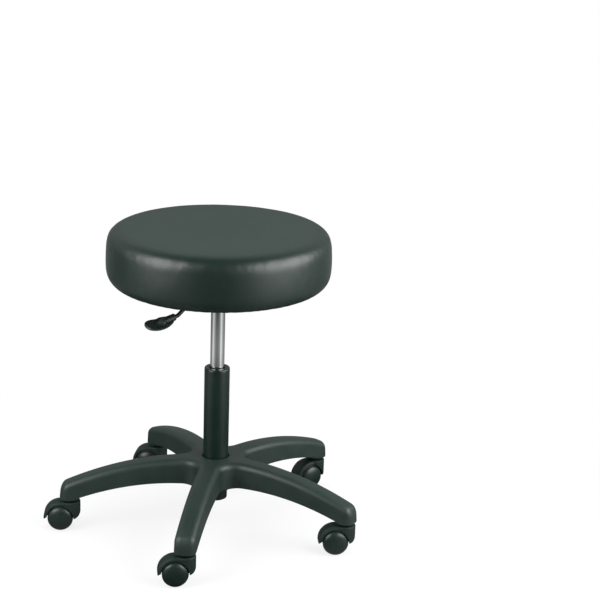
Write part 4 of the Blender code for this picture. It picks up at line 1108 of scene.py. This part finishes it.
def prism(name, outline, half, crown=0, rounding=0.0):
    """Extrude a side outline across Y, with the rims of its first edges rounded."""
    bm = bmesh.new()
    rims = []
    for side in (-1, 1):
        rims.append([bm.verts.new((x, side * half, z)) for x, z in outline])
        bm.faces.new(rims[-1])
    bridge(bm, *rims)
    bmesh.ops.recalc_face_normals(bm, faces=bm.faces[:])
    if crown:
        edges = [bm.edges.get((rim[i], rim[i + 1])) for rim in rims for i in range(crown)]
        shape = {"offset": rounding, "segments": 6, "profile": 0.5, "affect": "EDGES"}
        bmesh.ops.bevel(bm, geom=edges, **shape)
    return mesh_piece(name, bm)


def on_axle(side):
    """The place of a turned piece on the axle, at one side of the web."""
    lay = Matrix.Rotation(-side * math.pi / 2, 4, "X")
    return Matrix.Translation((TRAIL, 0, WHEEL_RADIUS)) @ lay


def make_crown():
    """The back and the roof of a hood: a block with rounded rims, trimmed in front and below."""
    outline = arc(AXLE, HOOD_RADIUS, -25, 90, 40)
    outline += [(9 * MM, HOOD_TOP), (-NOSE_RADIUS, HOOD_TOP), (-NOSE_RADIUS, 5 * MM)]
    block = prism("hood_crown", outline, HOOD_HALF, len(outline) - 2, CROWN_ROUND)
    trim = mm((-8, 80), (-8, 25)) + arc(AXLE, 10 * MM, 225, 315, 10)
    trim += arc(AXLE, WELL_RADIUS - 1 * MM, 8, 8, 1)[:1]
    trim += mm((60, 17), (60, -20), (-40, -20), (-40, 80))
    return carve(block, "DIFFERENCE", prism("hood_trim", trim, BEYOND))


def make_nose():
    """The round nose that holds the stem, blunt below, just clear of the crown's own faces."""
    top = HOOD_TOP - HAIR
    barrel = [(0, top), (NOSE_RADIUS, top, NOSE_ROUND), (NOSE_RADIUS, 20 * MM), (0, 20 * MM)]
    outline = mm((12, 62), (-22, 62)) + arc((-8 * MM, 37 * MM), 12 * MM + HAIR, 180, 270, 14)
    outline.append((12 * MM, 25 * MM - HAIR))
    block = prism("hood_nose", outline, NOSE_RADIUS + 1 * MM)
    return carve(block, "INTERSECT", turned("nose_barrel", rounded(barrel)))


# %% Hood of a caster
def make_hood():
    """A hood in its own frame, with the stem on the Z axis and the wheels trailing towards +X."""
    hood = carve(make_crown(), "UNION", make_nose())
    well = [(0, WEB_HALF), (WELL_RADIUS, WEB_HALF), (WELL_RADIUS, BEYOND), (0, BEYOND)]
    cutters = []
    for side in (-1, 1):
        cutters.append(turned("wheel_well", well))
        cutters[-1].data.transform(on_axle(side))
    hole = mm((0, 80), (5.9, 80), (5.9, 30.2), (0, 30.2))
    hood = carve(hood, "DIFFERENCE", *cutters, turned("stem_hole", hole, 48))
    return ease(hood, 0.7 * MM)


hood_shape = make_hood()
print("hood faces:", len(hood_shape.data.polygons))

# %% Wheel and stem of a caster
DOME_RADIUS = 24.3 * MM
DOME_LIFT = 0.4 * MM
DOME_STEPS = 18
STEM_RADIUS = 5.5 * MM
GROOVE_RADIUS = 4.6 * MM
FLANGE_RADIUS = 9 * MM


def make_wheel():
    """A wheel in its own frame, with the axle along Z and its domed face up."""
    inner = WEB_HALF + 0.4 * MM
    tread = inner + 6 * MM
    apex = tread + 11 * MM
    outline = [Vector((0, apex))]
    for i in range(1, DOME_STEPS + 1):
        lean = math.radians(86 * i / DOME_STEPS)
        height = tread + DOME_LIFT + (apex - tread - DOME_LIFT) * math.cos(lean)
        outline.append(Vector((DOME_RADIUS * math.sin(lean), height)))
    rim = [
        (24.25 * MM, tread + 1.1 * MM),
        (23.8 * MM, tread + 0.5 * MM, 0.2 * MM),
        (24.1 * MM, tread, 0.2 * MM),
        (WHEEL_RADIUS, tread - 0.2 * MM, 0.5 * MM),
        (WHEEL_RADIUS, inner, 1.2 * MM),
        (22 * MM, inner, 0.5 * MM),
        (21.6 * MM, tread),
        (7 * MM, apex - 7 * MM, 1.5 * MM),
        (7 * MM, inner, 0.5 * MM),
        (3.5 * MM, inner),
        (3.5 * MM, apex - 5 * MM),
        (0, apex - 5 * MM),
    ]
    return turned("wheel", outline + rounded(rim, 3))


def make_stem():
    """A stem on the Z axis: chamfered top, ring groove, flange and journal inside the hood."""
    low, top = (corner.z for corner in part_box("caster_stem_1"))
    outline = [
        (0, top),
        (STEM_RADIUS, top, 0.8 * MM),
        (STEM_RADIUS, top - 5.2 * MM),
        (GROOVE_RADIUS, top - 5.2 * MM),
        (GROOVE_RADIUS, top - 6.8 * MM),
        (STEM_RADIUS, top - 6.8 * MM),
        (STEM_RADIUS, TIP_BOTTOM - PLAY),
        (FLANGE_RADIUS, TIP_BOTTOM - PLAY, 0.6 * MM),
        (FLANGE_RADIUS, HOOD_TOP + PLAY, 0.6 * MM),
        (STEM_RADIUS, HOOD_TOP + PLAY),
        (STEM_RADIUS, low, 0.8 * MM),
        (0, low),
    ]
    return turned("stem", rounded(outline, 3), 48)


wheel_shape = make_wheel()
stem_shape = make_stem()
print("wheel faces:", len(wheel_shape.data.polygons), "stem:", len(stem_shape.data.polygons))

# %% Five casters
TURNS = [195, 193, 224, 182, 191]


def copied(piece, name, pose):
    """A copy of a piece, moved in its mesh."""
    twin = link(name, piece.data.copy())
    twin.data.transform(pose)
    return twin


def make_casters():
    """Copy the hood, the wheels and the stem to each caster, and ride them on its bodies."""
    for number, degrees in enumerate(TURNS, 1):
        around = FIRST_ARM + (number - 1) * ARM_STEP
        place = (STEM_CIRCLE * math.cos(around), STEM_CIRCLE * math.sin(around), 0)
        spot = Matrix.Translation(place)
        swing = spot @ Matrix.Rotation(math.radians(degrees), 4, "Z")
        stem = copied(stem_shape, f"stem_{number}", spot)
        dress(stem, "base", ZINC, f"caster_stem_{number}")
        hood = copied(hood_shape, f"hood_{number}", swing)
        dress(hood, f"caster_{number}", HOOD_NYLON, f"caster_hood_{number}")
        for letter, side in (("a", -1), ("b", 1)):
            body = f"wheel_{number}_{letter}"
            wheel = copied(wheel_shape, f"twin_{body}", swing @ on_axle(side))
            dress(wheel, body, WHEEL_NYLON, body)
    for shape in (hood_shape, wheel_shape, stem_shape):
        bpy.data.objects.remove(shape)


make_casters()

# %% [markdown]
# ## Plate and lever
#
# Under the seat a pressed steel plate carries a short channel and the tapered socket of the gas
# cylinder. The lever is a bent rod on a pin through the channel, with a flat tongue over the
# release button, and ends in a paddle grip. Flat outlines that are extruded give the plate and the
# channel their even thickness. Everything here is drawn with the lever along +X, then turned to
# where the lever points.

# %% Seat plate
LEVER_DEGREES = 227
LEVER_TURN = Matrix.Rotation(math.radians(LEVER_DEGREES), 4, "Z")
PLATE_TOP = 499.5 * MM
PLATE_BOTTOM = 496.5 * MM
PLATE_CORNER = 20 * MM
CORNER_PLACE = 62.5 * MM
CHANNEL_FLOOR = 478.5 * MM
CHANNEL_CORNERS = ((-32.5, -17.5), (52, -17.5), (52, 17.5), (-32.5, 17.5))
CHANNEL_PLAN = [Vector(corner) * MM for corner in CHANNEL_CORNERS]
BACK_PLACE = Matrix.Translation((-33.7 * MM, 0, 0)) @ Matrix.Diagonal((0.029, 1, 1, 1))


def make_plate():
    """The pressing, with a window over its channel."""
    outline = []
    for quarter, (x, y) in enumerate(((1, 1), (-1, 1), (-1, -1), (1, -1))):
        centre = (x * CORNER_PLACE, y * CORNER_PLACE)
        outline += arc(centre, PLATE_CORNER, quarter * 90, quarter * 90 + 90, 12)
    plate = slab("plate_pressing", outline, PLATE_BOTTOM, PLATE_TOP, 0.8 * MM)
    window = slab("plate_window", CHANNEL_PLAN, CHANNEL_FLOOR, PLATE_TOP + 2 * MM)
    plate = carve(plate, "DIFFERENCE", window)
    plate.data.transform(LEVER_TURN)
    dress(soften(plate), "seat", COATED, "seat_plate")


make_plate()


# %% Channel and socket
def make_channel():
    """The channel, bored for the cylinder, and the wall at its back end."""
    section = rounded([(-20, 498), (-20, 476, 3.2), (20, 476, 3.2), (20, 498)], 6)
    section += rounded([(17.5, 498), (17.5, 478.5, 0.8), (-17.5, 478.5, 0.8), (-17.5, 498)], 6)
    trough = slab("channel", [point * MM for point in section], -50 * MM, 35 * MM)
    trough.data.transform(Matrix(((0, 0, -1, 0), (1, 0, 0, 0), (0, 1, 0, 0), (0, 0, 0, 1))))
    bore = mm((0, 490), (13.6, 490), (13.6, 470), (0, 470))
    trough = carve(trough, "DIFFERENCE", turned("socket_way", bore, 72))
    trough.data.transform(LEVER_TURN)
    dress(ease(trough, 0.4 * MM, 2), "seat", COATED)
    back = slab("channel_back", CHANNEL_PLAN, CHANNEL_FLOOR - 2 * MM, PLATE_BOTTOM + 1 * MM)
    back.data.transform(LEVER_TURN @ BACK_PLACE)
    dress(back, "seat", COATED)


def make_socket():
    """The tapered socket and the weld round it."""
    outline = mm((13.75, 477), (19, 477), (19, 448, 1.6), (14.35, 448, 0.5), (14.25, 452))
    dress(turned("cylinder_socket", rounded(outline)), "seat", COATED)
    bead = arc((19.2 * MM, 475.8 * MM), 1.9 * MM, 0, 350, 14)
    dress(turned("socket_weld", bead), "seat", COATED)


make_channel()
make_socket()

# %% [markdown]
# ### Bolts
#
# Four hexagon bolts hold the plate to the board. No single sweep has both the flats of the head
# and its round chamfer, so a hexagon is cut by a turned chamfer and joined with a turned washer
# face and shank. One bolt is made, and the tree deals it to the corners of the plate.

# %% Bolts
BOLTS = 4
BOLT_SIDE = 62 * MM
BOLT_TOP = 513 * MM
BOLT_RADIUS = 3 * MM
HEAD_RADIUS = 5.8 * MM
HEAD_HIGH = PLATE_BOTTOM - PLAY
HEAD_LOW = HEAD_HIGH - 4 * MM
WASHER_RADIUS = 5.75 * MM
WASHER_LOW = HEAD_HIGH - 0.7 * MM


def make_bolt():
    """A hexagon bolt with a washer face and a chamfered head, with the head down."""
    hexagon = arc((0, 0), HEAD_RADIUS, 0, 300, 5)
    head = slab("bolt_head", hexagon, HEAD_LOW, HEAD_HIGH - 0.4 * MM)
    face = HEAD_LOW - HAIR
    chamfer = [(0, HEAD_HIGH), (6.6 * MM, HEAD_HIGH), (6.6 * MM, HEAD_LOW + 1.1 * MM)]
    chamfer += [(4.7 * MM, face), (0, face)]
    head = carve(head, "INTERSECT", turned("bolt_chamfer", chamfer, 48))
    core = [(0, BOLT_TOP), (BOLT_RADIUS, BOLT_TOP, 0.5 * MM), (BOLT_RADIUS, HEAD_HIGH)]
    core += [(WASHER_RADIUS, HEAD_HIGH), (WASHER_RADIUS, WASHER_LOW), (0, WASHER_LOW)]
    return soften(carve(head, "UNION", turned("bolt_core", rounded(core), 48)), 30)


def make_bolts():
    """Four bolts in the corners of the plate."""
    bolt = make_bolt()
    bolt.data.transform(Matrix.Translation((BOLT_SIDE * math.sqrt(2), 0, 0)))
    bolts = deal("plate_bolts", bolt, BOLTS, ZINC, math.radians(LEVER_DEGREES + 45))
    dress(bolts, "seat", ZINC, *[f"seat_bolt_{i}" for i in range(1, BOLTS + 1)])


make_bolts()

# %% [markdown]
# ### Lever
#
# The rod is one bar that is bent twice. Short straight tubes would leave creases at the bends, so
# it is a curve through rounded corners with a round bevel, which keeps the bar round all along.

# %% Lever
PIVOT = Vector((34 * MM, 0, 486.8 * MM))
ACROSS = Matrix.Translation(PIVOT) @ Matrix.Rotation(math.pi / 2, 4, "X")
LEVER_RADIUS = 4 * MM
LEVER_BEND = 12 * MM
LEVER_DROP = 37 * MM
LEVER_LEAD = 8 * MM
LEVER_IN_GRIP = 23.5 * MM
GRIP_PITCH = math.radians(10)
GRIP_ROLL = math.radians(-13)
GRIP_HEIGHT = PIVOT.z - LEVER_DROP - LEVER_LEAD * math.tan(GRIP_PITCH)
GRIP_AT = Vector((103.5 * MM, 0, GRIP_HEIGHT))


def make_lever():
    """The bent rod."""
    run = LEVER_IN_GRIP
    tip = (GRIP_AT.x + run * math.cos(GRIP_PITCH), GRIP_AT.z - run * math.sin(GRIP_PITCH))
    low_bend = (GRIP_AT.x - LEVER_LEAD, PIVOT.z - LEVER_DROP, LEVER_BEND)
    route = [(30.8 * MM, PIVOT.z), (46 * MM, PIVOT.z, LEVER_BEND), low_bend, tip]
    points = [(point.x, 0, point.y) for point in rounded(route, 16)]
    round_bar = {"bevel_depth": LEVER_RADIUS, "bevel_resolution": 8, "use_fill_caps": True}
    rod = soften(drawn("lever_bend", points, False, dimensions="3D", **round_bar), 40)
    rod.data.transform(LEVER_TURN)
    dress(rod, "lever", COATED, "lever_rod")


make_lever()


# %% Pivot of the lever
def make_pivot():
    """The pivot boss of the lever, the tongue over the button, and the pin."""
    sides = mm((2.9, 16.5), (6.5, 16.5, 0.8), (6.5, -16.5, 0.8), (2.9, -16.5))
    boss = turned("lever_boss", rounded(sides), 48)
    boss.data.transform(LEVER_TURN @ ACROSS)
    dress(boss, "lever", COATED)
    plan = rounded([(28, -4.5), (-6, -4.5, 3), (-6, 4.5, 3), (28, 4.5)], 6)
    plan = [point * MM for point in plan]
    tongue = slab("lever_tongue", plan, PIVOT.z, PIVOT.z + 3 * MM, 0.5 * MM)
    tongue.data.transform(LEVER_TURN)
    dress(tongue, "lever", COATED)
    ends = mm((0, 21.8), (4.5, 21.8, 0.7), (4.5, 20.3), (2.5, 20.3), (2.5, -21.8, 0.6), (0, -21.8))
    pin = turned("pivot_pin", rounded(ends), 40)
    pin.data.transform(LEVER_TURN @ ACROSS)
    dress(pin, "seat", ZINC, "lever_pin")


make_pivot()

# %% [markdown]
# ### The paddle grip
#
# The grip is a leaf: a round neck over the rod that flattens into an oval blade with a raised rim
# round a shallow dish, and a ridge that runs out of the neck and fades into the dish. It is lofted
# from closed sections along its length. Each section starts as a flattened oval, and the dish and
# the ridge move its upper points.

# %% Skin of the grip
GRIP_LENGTH = 65 * MM
BLADE_HALF = 20 * MM
BLADE_UNDER = 3 * MM
BLADE_OVER = 3.6 * MM
BLADE_DROP = 4 * MM
BLADE_LIFT = 5 * MM
DISH_DEPTH = 2.8 * MM
DISH_SHARE = 0.85
NECK_RADIUS = 7 * MM
NECK_END = 2 * MM
NECK_SINK = NECK_RADIUS + 2 * MM
BLADE_TIP = 5 * MM
GRIP_FILLET = 0.7 * MM


def root_of(value):
    """A square root that is 0 below 0."""
    return math.sqrt(max(value, 0.0))


def smooth_step(value, low, high):
    """A soft step from 0 to 1 between two values."""
    share = min(max((value - low) / (high - low), 0.0), 1.0)
    return share * share * (3 - 2 * share)


def along_step(along, low, high):
    """A soft step along the grip, between two distances in millimetres."""
    return smooth_step(along, low * MM, high * MM)


def grip_half_width(along):
    """Half the width of the grip at a distance from its neck end."""
    centre = GRIP_LENGTH - BLADE_HALF
    if along > centre:
        return root_of(BLADE_HALF**2 - (along - centre) ** 2)
    share = max(0.0, along - NECK_END) / (centre - NECK_END)
    return NECK_RADIUS + (BLADE_HALF - NECK_RADIUS) * math.sin(math.pi / 2 * share)


def blended(first, second, sign):
    """The larger of two heights, or the smaller for a negative sign, with a fillet between."""
    return (first + second + sign * math.hypot(first - second, GRIP_FILLET)) / 2


def grip_point(along, turn):
    """A point of the grip's skin, by its distance from the neck end and the angle round it."""
    wide = grip_half_width(along)
    across = wide * math.cos(turn)
    level = BLADE_LIFT * smooth_step(along, 20 * MM, GRIP_LENGTH)
    level -= BLADE_DROP * along_step(along, 2, 12)
    if abs(math.sin(turn)) < 1e-6:
        return Vector((along, across, level))
    past = max(0.0, along - GRIP_LENGTH + BLADE_TIP) / BLADE_TIP
    edge = (1 - abs(math.cos(turn)) ** 3) ** 0.45 * root_of(1 - past**2)
    neck = root_of(NECK_RADIUS**2 - across**2)
    if math.sin(turn) < 0:
        sunk = along_step(along, 14, 34) * NECK_SINK
        return Vector((along, across, blended(level - BLADE_UNDER * edge, sunk - neck, -1)))
    inner = root_of(1 - (across / (wide * DISH_SHARE)) ** 2)
    shore = along_step(along, 14, 30) * (1 - along_step(along, 55, 62))
    sunk = along_step(along, 22, 44) * NECK_SINK
    blade = level + BLADE_OVER * edge - DISH_DEPTH * inner * shore
    return Vector((along, across, blended(blade, neck - sunk, 1)))


print("blade of the grip in mm:", round(2 * grip_half_width(GRIP_LENGTH - BLADE_HALF) / MM, 1))

# %% Grip
GRIP_ROWS = 60
GRIP_COLUMNS = 56
NECK_LIP = -0.6 * MM
NECK_BORE = 6 * MM


def make_grip():
    """Loft the paddle, and close it with a rounded tip and a bored neck end."""
    bm = bmesh.new()
    turns = [2 * math.pi * i / GRIP_COLUMNS for i in range(GRIP_COLUMNS)]
    rows = []
    for i in range(GRIP_ROWS):
        along = GRIP_LENGTH * (1 - (1 - i / GRIP_ROWS) ** 1.25)
        rows.append([bm.verts.new(grip_point(along, turn)) for turn in turns])
    for row, following in zip(rows, rows[1:]):
        bridge(bm, row, following)
    bridge(bm, rows[-1], [bm.verts.new((GRIP_LENGTH, 0, BLADE_LIFT - BLADE_DROP))])
    following = rows[0]
    for along, share in ((NECK_LIP, 0.9), (NECK_LIP, 0.66), (NECK_BORE, 0.66)):
        ring = [(along, vert.co.y * share, vert.co.z * share) for vert in rows[0]]
        row = [bm.verts.new(place) for place in ring]
        bridge(bm, row, following)
        following = row
    bm.faces.new(following)
    grip = mesh_piece("paddle_grip", bm, 60)
    lean = Matrix.Rotation(GRIP_PITCH, 4, "Y") @ Matrix.Rotation(GRIP_ROLL, 4, "X")
    grip.data.transform(LEVER_TURN @ Matrix.Translation(GRIP_AT) @ lean)
    dress(grip, "lever", GRIP_PLASTIC, "lever_grip")


make_grip()

# %% [markdown]
# ## The cushion
#
# The cushion is foam under a tight vinyl cover that is drawn round the board and stapled below. A
# drawn profile would look turned, so the cover is blown up instead: a slightly small body is
# remeshed into even facets, the cloth solver inflates it with its underside held, and the movement
# is capped so that it keeps its size. Below, the extra width of the cover is gathered into small
# pleats that deepen towards the staples.

# %% Start of the cushion
SEAT_RADIUS = 218 * MM
SEAT_TOP = 610 * MM
SEAT_BOTTOM = 498 * MM
BOARD_RADIUS = 185 * MM
HEM_RADIUS = 155 * MM
TOP_CROWN = 0.4
SIDE_CROWN = 0.25
VOXEL = 6 * MM
SWELL = 4 * MM
RELAX = {"smooth_type": "LENGTH_WEIGHTED", "use_only_smooth": True}


def cushion_outline(inset):
    """The cushion from the middle of its top to the middle of its underside, drawn in."""
    edge = SEAT_RADIUS - 2 * MM - inset
    rim = SEAT_TOP - 3 * MM - inset
    corners = [
        (0, SEAT_TOP - inset),
        (70 * MM, SEAT_TOP - inset, TOP_CROWN),
        (edge, rim, 16 * MM),
        (edge + 2 * MM, (rim + SEAT_BOTTOM) / 2, SIDE_CROWN),
        (edge, SEAT_BOTTOM, 30 * MM),
        (0, SEAT_BOTTOM),
    ]
    return rounded(corners, 10)


def make_cushion_start():
    """The cushion before it is blown up, in even facets."""
    start = turned("seat_pad", cushion_outline(SWELL), 128)
    modify(start, "REMESH", mode="VOXEL", voxel_size=VOXEL)
    pad = freeze(start)
    modify(pad, "CORRECTIVE_SMOOTH", iterations=6, **RELAX)
    return freeze(pad)


seat_pad = make_cushion_start()
print("points of the cushion before it swells:", len(seat_pad.data.vertices))

# %% Blow the cushion up
HELD_HEIGHT = SEAT_BOTTOM + 14 * MM
CLOTH_FRAMES = 20
CLOTH_PRESSURE = 4
SWELL_CAP = 7 * MM


def inflate(pad):
    """Swell a closed pad with the cloth solver, with its underside held and its movement capped."""
    held = pad.vertex_groups.new(name="held")
    held.add([v.index for v in pad.data.vertices if v.co.z < HELD_HEIGHT], 1.0, "REPLACE")
    rest = [v.co.copy() for v in pad.data.vertices]
    cloth = modify(pad, "CLOTH")
    cloth.settings.use_pressure = True
    cloth.settings.uniform_pressure_force = CLOTH_PRESSURE
    cloth.settings.effector_weights.gravity = 0
    cloth.settings.vertex_group_mass = "held"
    cloth.point_cache.frame_end = CLOTH_FRAMES
    for step in range(1, CLOTH_FRAMES + 1):
        scene.frame_set(step)
    pad = freeze(pad)
    scene.frame_set(1)
    furthest = 0
    for vert, start in zip(pad.data.vertices, rest):
        move = vert.co - start
        furthest = max(furthest, move.length)
        if move.length > SWELL_CAP:
            vert.co = start + move.normalized() * SWELL_CAP
    print("cushion swelled by up to", round(furthest / MM, 1), "mm, capped at", SWELL_CAP / MM)
    return pad


seat_pad = inflate(seat_pad)

# %% [markdown]
# The swollen skin is still a little lumpy. On the real seat the cover is cut to a round pattern
# and drawn tight, so most of each point's distance to that cut is taken back.

# %% Draw the cover tight
PULL = 0.91


def draw_tight(pad, share):
    """Move each point a share of the way to the cut of the cover, as tight vinyl does."""
    cut = cushion_outline(0)
    spans = [(first, second - first) for first, second in zip(cut, cut[1:])]
    for vert in pad.data.vertices:
        here = Vector((vert.co.xy.length, vert.co.z))
        if here.y < SEAT_BOTTOM + 4 * MM and here.x < BOARD_RADIUS - 10 * MM:
            continue
        spots = []
        for first, run in spans:
            along = min(max((here - first).dot(run) / run.length_squared, 0.0), 1.0)
            spots.append(first + run * along)
        goal = here.lerp(min(spots, key=lambda spot: (spot - here).length), share)
        flat = vert.co.xy.normalized() * goal.x
        vert.co = Vector((flat.x, flat.y, goal.y))


draw_tight(seat_pad, PULL)
print("share of the way to the cut:", PULL)

# %% [markdown]
# The solver leaves faint facets, so the pad is relaxed and subdivided once. Then the pleats go in,
# the middle of the underside is opened where the board shows, and the rim of that opening is
# turned up behind the board.

# %% Relax and pleat the cushion
PLEATS = 64
PLEAT_HEIGHT = 26 * MM
PLEAT_DEPTH = 1.1 * MM


def pleat(pad):
    """Gather the cover below its lower edge into small folds that deepen towards the staples."""
    highest = SEAT_BOTTOM + PLEAT_HEIGHT
    for vert in pad.data.vertices:
        reach = math.hypot(vert.co.x, vert.co.y)
        if vert.co.z > highest or reach < HEM_RADIUS - 8 * MM:
            continue
        turn = math.atan2(vert.co.y, vert.co.x)
        drift = noise.noise(Vector((math.cos(turn), math.sin(turn), 0.3)) * 5)
        wave = 0.5 + 0.5 * math.sin(PLEATS * turn + 5 * drift)
        depth = smooth_step(highest - vert.co.z, 0, PLEAT_HEIGHT)
        depth *= 0.55 + 0.45 * smooth_step(BOARD_RADIUS + 12 * MM - reach, 0, 30 * MM)
        lift = PLEAT_DEPTH * depth * wave**4
        outward = Vector((vert.co.x, vert.co.y, 0)).normalized()
        slope = smooth_step(reach, BOARD_RADIUS - 6 * MM, SEAT_RADIUS - 8 * MM)
        vert.co += Vector((0, 0, 1 - slope)) * lift - outward * slope * lift


modify(seat_pad, "CORRECTIVE_SMOOTH", iterations=14, **RELAX)
modify(seat_pad, "SUBSURF", levels=1, render_levels=1)
seat_pad = freeze(seat_pad)
pleat(seat_pad)
print("pleats:", PLEATS, "points:", len(seat_pad.data.vertices))

# %% Open the cushion below and finish it
HEM_DEPTH = 6 * MM
UNDERSIDE = 0.53


def is_open(face):
    """Whether a face lies where the cover is open below."""
    middle = face.calc_center_median()
    return middle.xy.length < HEM_RADIUS and middle.z < UNDERSIDE


def open_underside(pad):
    """Open the cover where the board shows, trim the hem to a circle and turn its edge up."""
    bm = bmesh.new()
    bm.from_mesh(pad.data)
    bmesh.ops.delete(bm, geom=[face for face in bm.faces if is_open(face)], context="FACES")
    loose = [vert for vert in bm.verts if not vert.link_faces]
    bmesh.ops.delete(bm, geom=loose, context="VERTS")
    rim = [edge for edge in bm.edges if edge.is_boundary]
    for vert in {vert for edge in rim for vert in edge.verts}:
        uneven = 0.8 * MM * noise.noise(vert.co * 60)
        vert.co.xy = vert.co.xy.normalized() * (HEM_RADIUS + uneven)
    grown = bmesh.ops.extrude_edge_only(bm, edges=rim)["geom"]
    for vert in [item for item in grown if isinstance(item, bmesh.types.BMVert)]:
        vert.co.z = SEAT_BOTTOM + HEM_DEPTH
    edges = [item for item in grown if isinstance(item, bmesh.types.BMEdge)]
    bmesh.ops.contextual_create(bm, geom=[edge for edge in edges if edge.is_boundary])
    bmesh.ops.triangulate(bm, faces=[face for face in bm.faces if len(face.verts) > 4])
    bmesh.ops.recalc_face_normals(bm, faces=bm.faces[:])
    bm.to_mesh(pad.data)
    bm.free()


open_underside(seat_pad)
soften(seat_pad, 60)
dress(seat_pad, "seat", VINYL, "seat_cover", "seat_foam")
extent = [max(v.co[axis] for v in seat_pad.data.vertices) for axis in range(3)]
print("cushion reaches in mm:", in_mm([extent]))

# %% [markdown]
# ### Staples
#
# The hem is held to the board by a ring of staples. A staple is a bent wire with a flat crown, and
# a hand puts them in, so they wander a little: the dealing tree's wobble does that.

# %% Staples
STAPLES = 44
STAPLE_CIRCLE = 167 * MM
STAPLE_WOBBLE = 0.018
WIRE = 0.6 * MM


def make_staples():
    """One staple in the hem, dealt round the board."""
    outline = mm((-5, 3), (-5, 0.5), (-4.5, 0), (4.5, 0), (5, 0.5), (5, 3))
    outline += mm((4.4, 3), (4.4, 0.6), (-4.4, 0.6), (-4.4, 3))
    staple = prism("staple", outline, WIRE)
    place = Matrix.Translation((STAPLE_CIRCLE, 0, SEAT_BOTTOM - WIRE))
    staple.data.transform(place @ Matrix.Rotation(math.pi / 2, 4, "Z"))
    staples = deal("hem_staples", staple, STAPLES, ZINC, 0.03, STAPLE_WOBBLE, weld=0.0)
    dress(staples, "seat", ZINC)


make_staples()

# %% [markdown]
# ## Solids that stay
#
# Board, nuts, bearings and the other inner pieces are already the right shape. They keep their
# solids and only get a finish.

# %% Finishes for the solids
STAYING = {
    "seat_board": PLYWOOD,
    "release_button": ZINC,
    "rod_gland": GUIDE_PLASTIC,
    "piston": GUIDE_PLASTIC,
    "bumper": RUBBER,
    "seat_foam": FOAM,
}


def finish_solids():
    """Every solid gets a finish, whether it shows or not."""
    for name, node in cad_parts.items():
        node.data.materials.clear()
        node.data.materials.append(STAYING.get(name, ZINC))


finish_solids()
print("solids that show:", sum(not node.hide_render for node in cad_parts.values()))
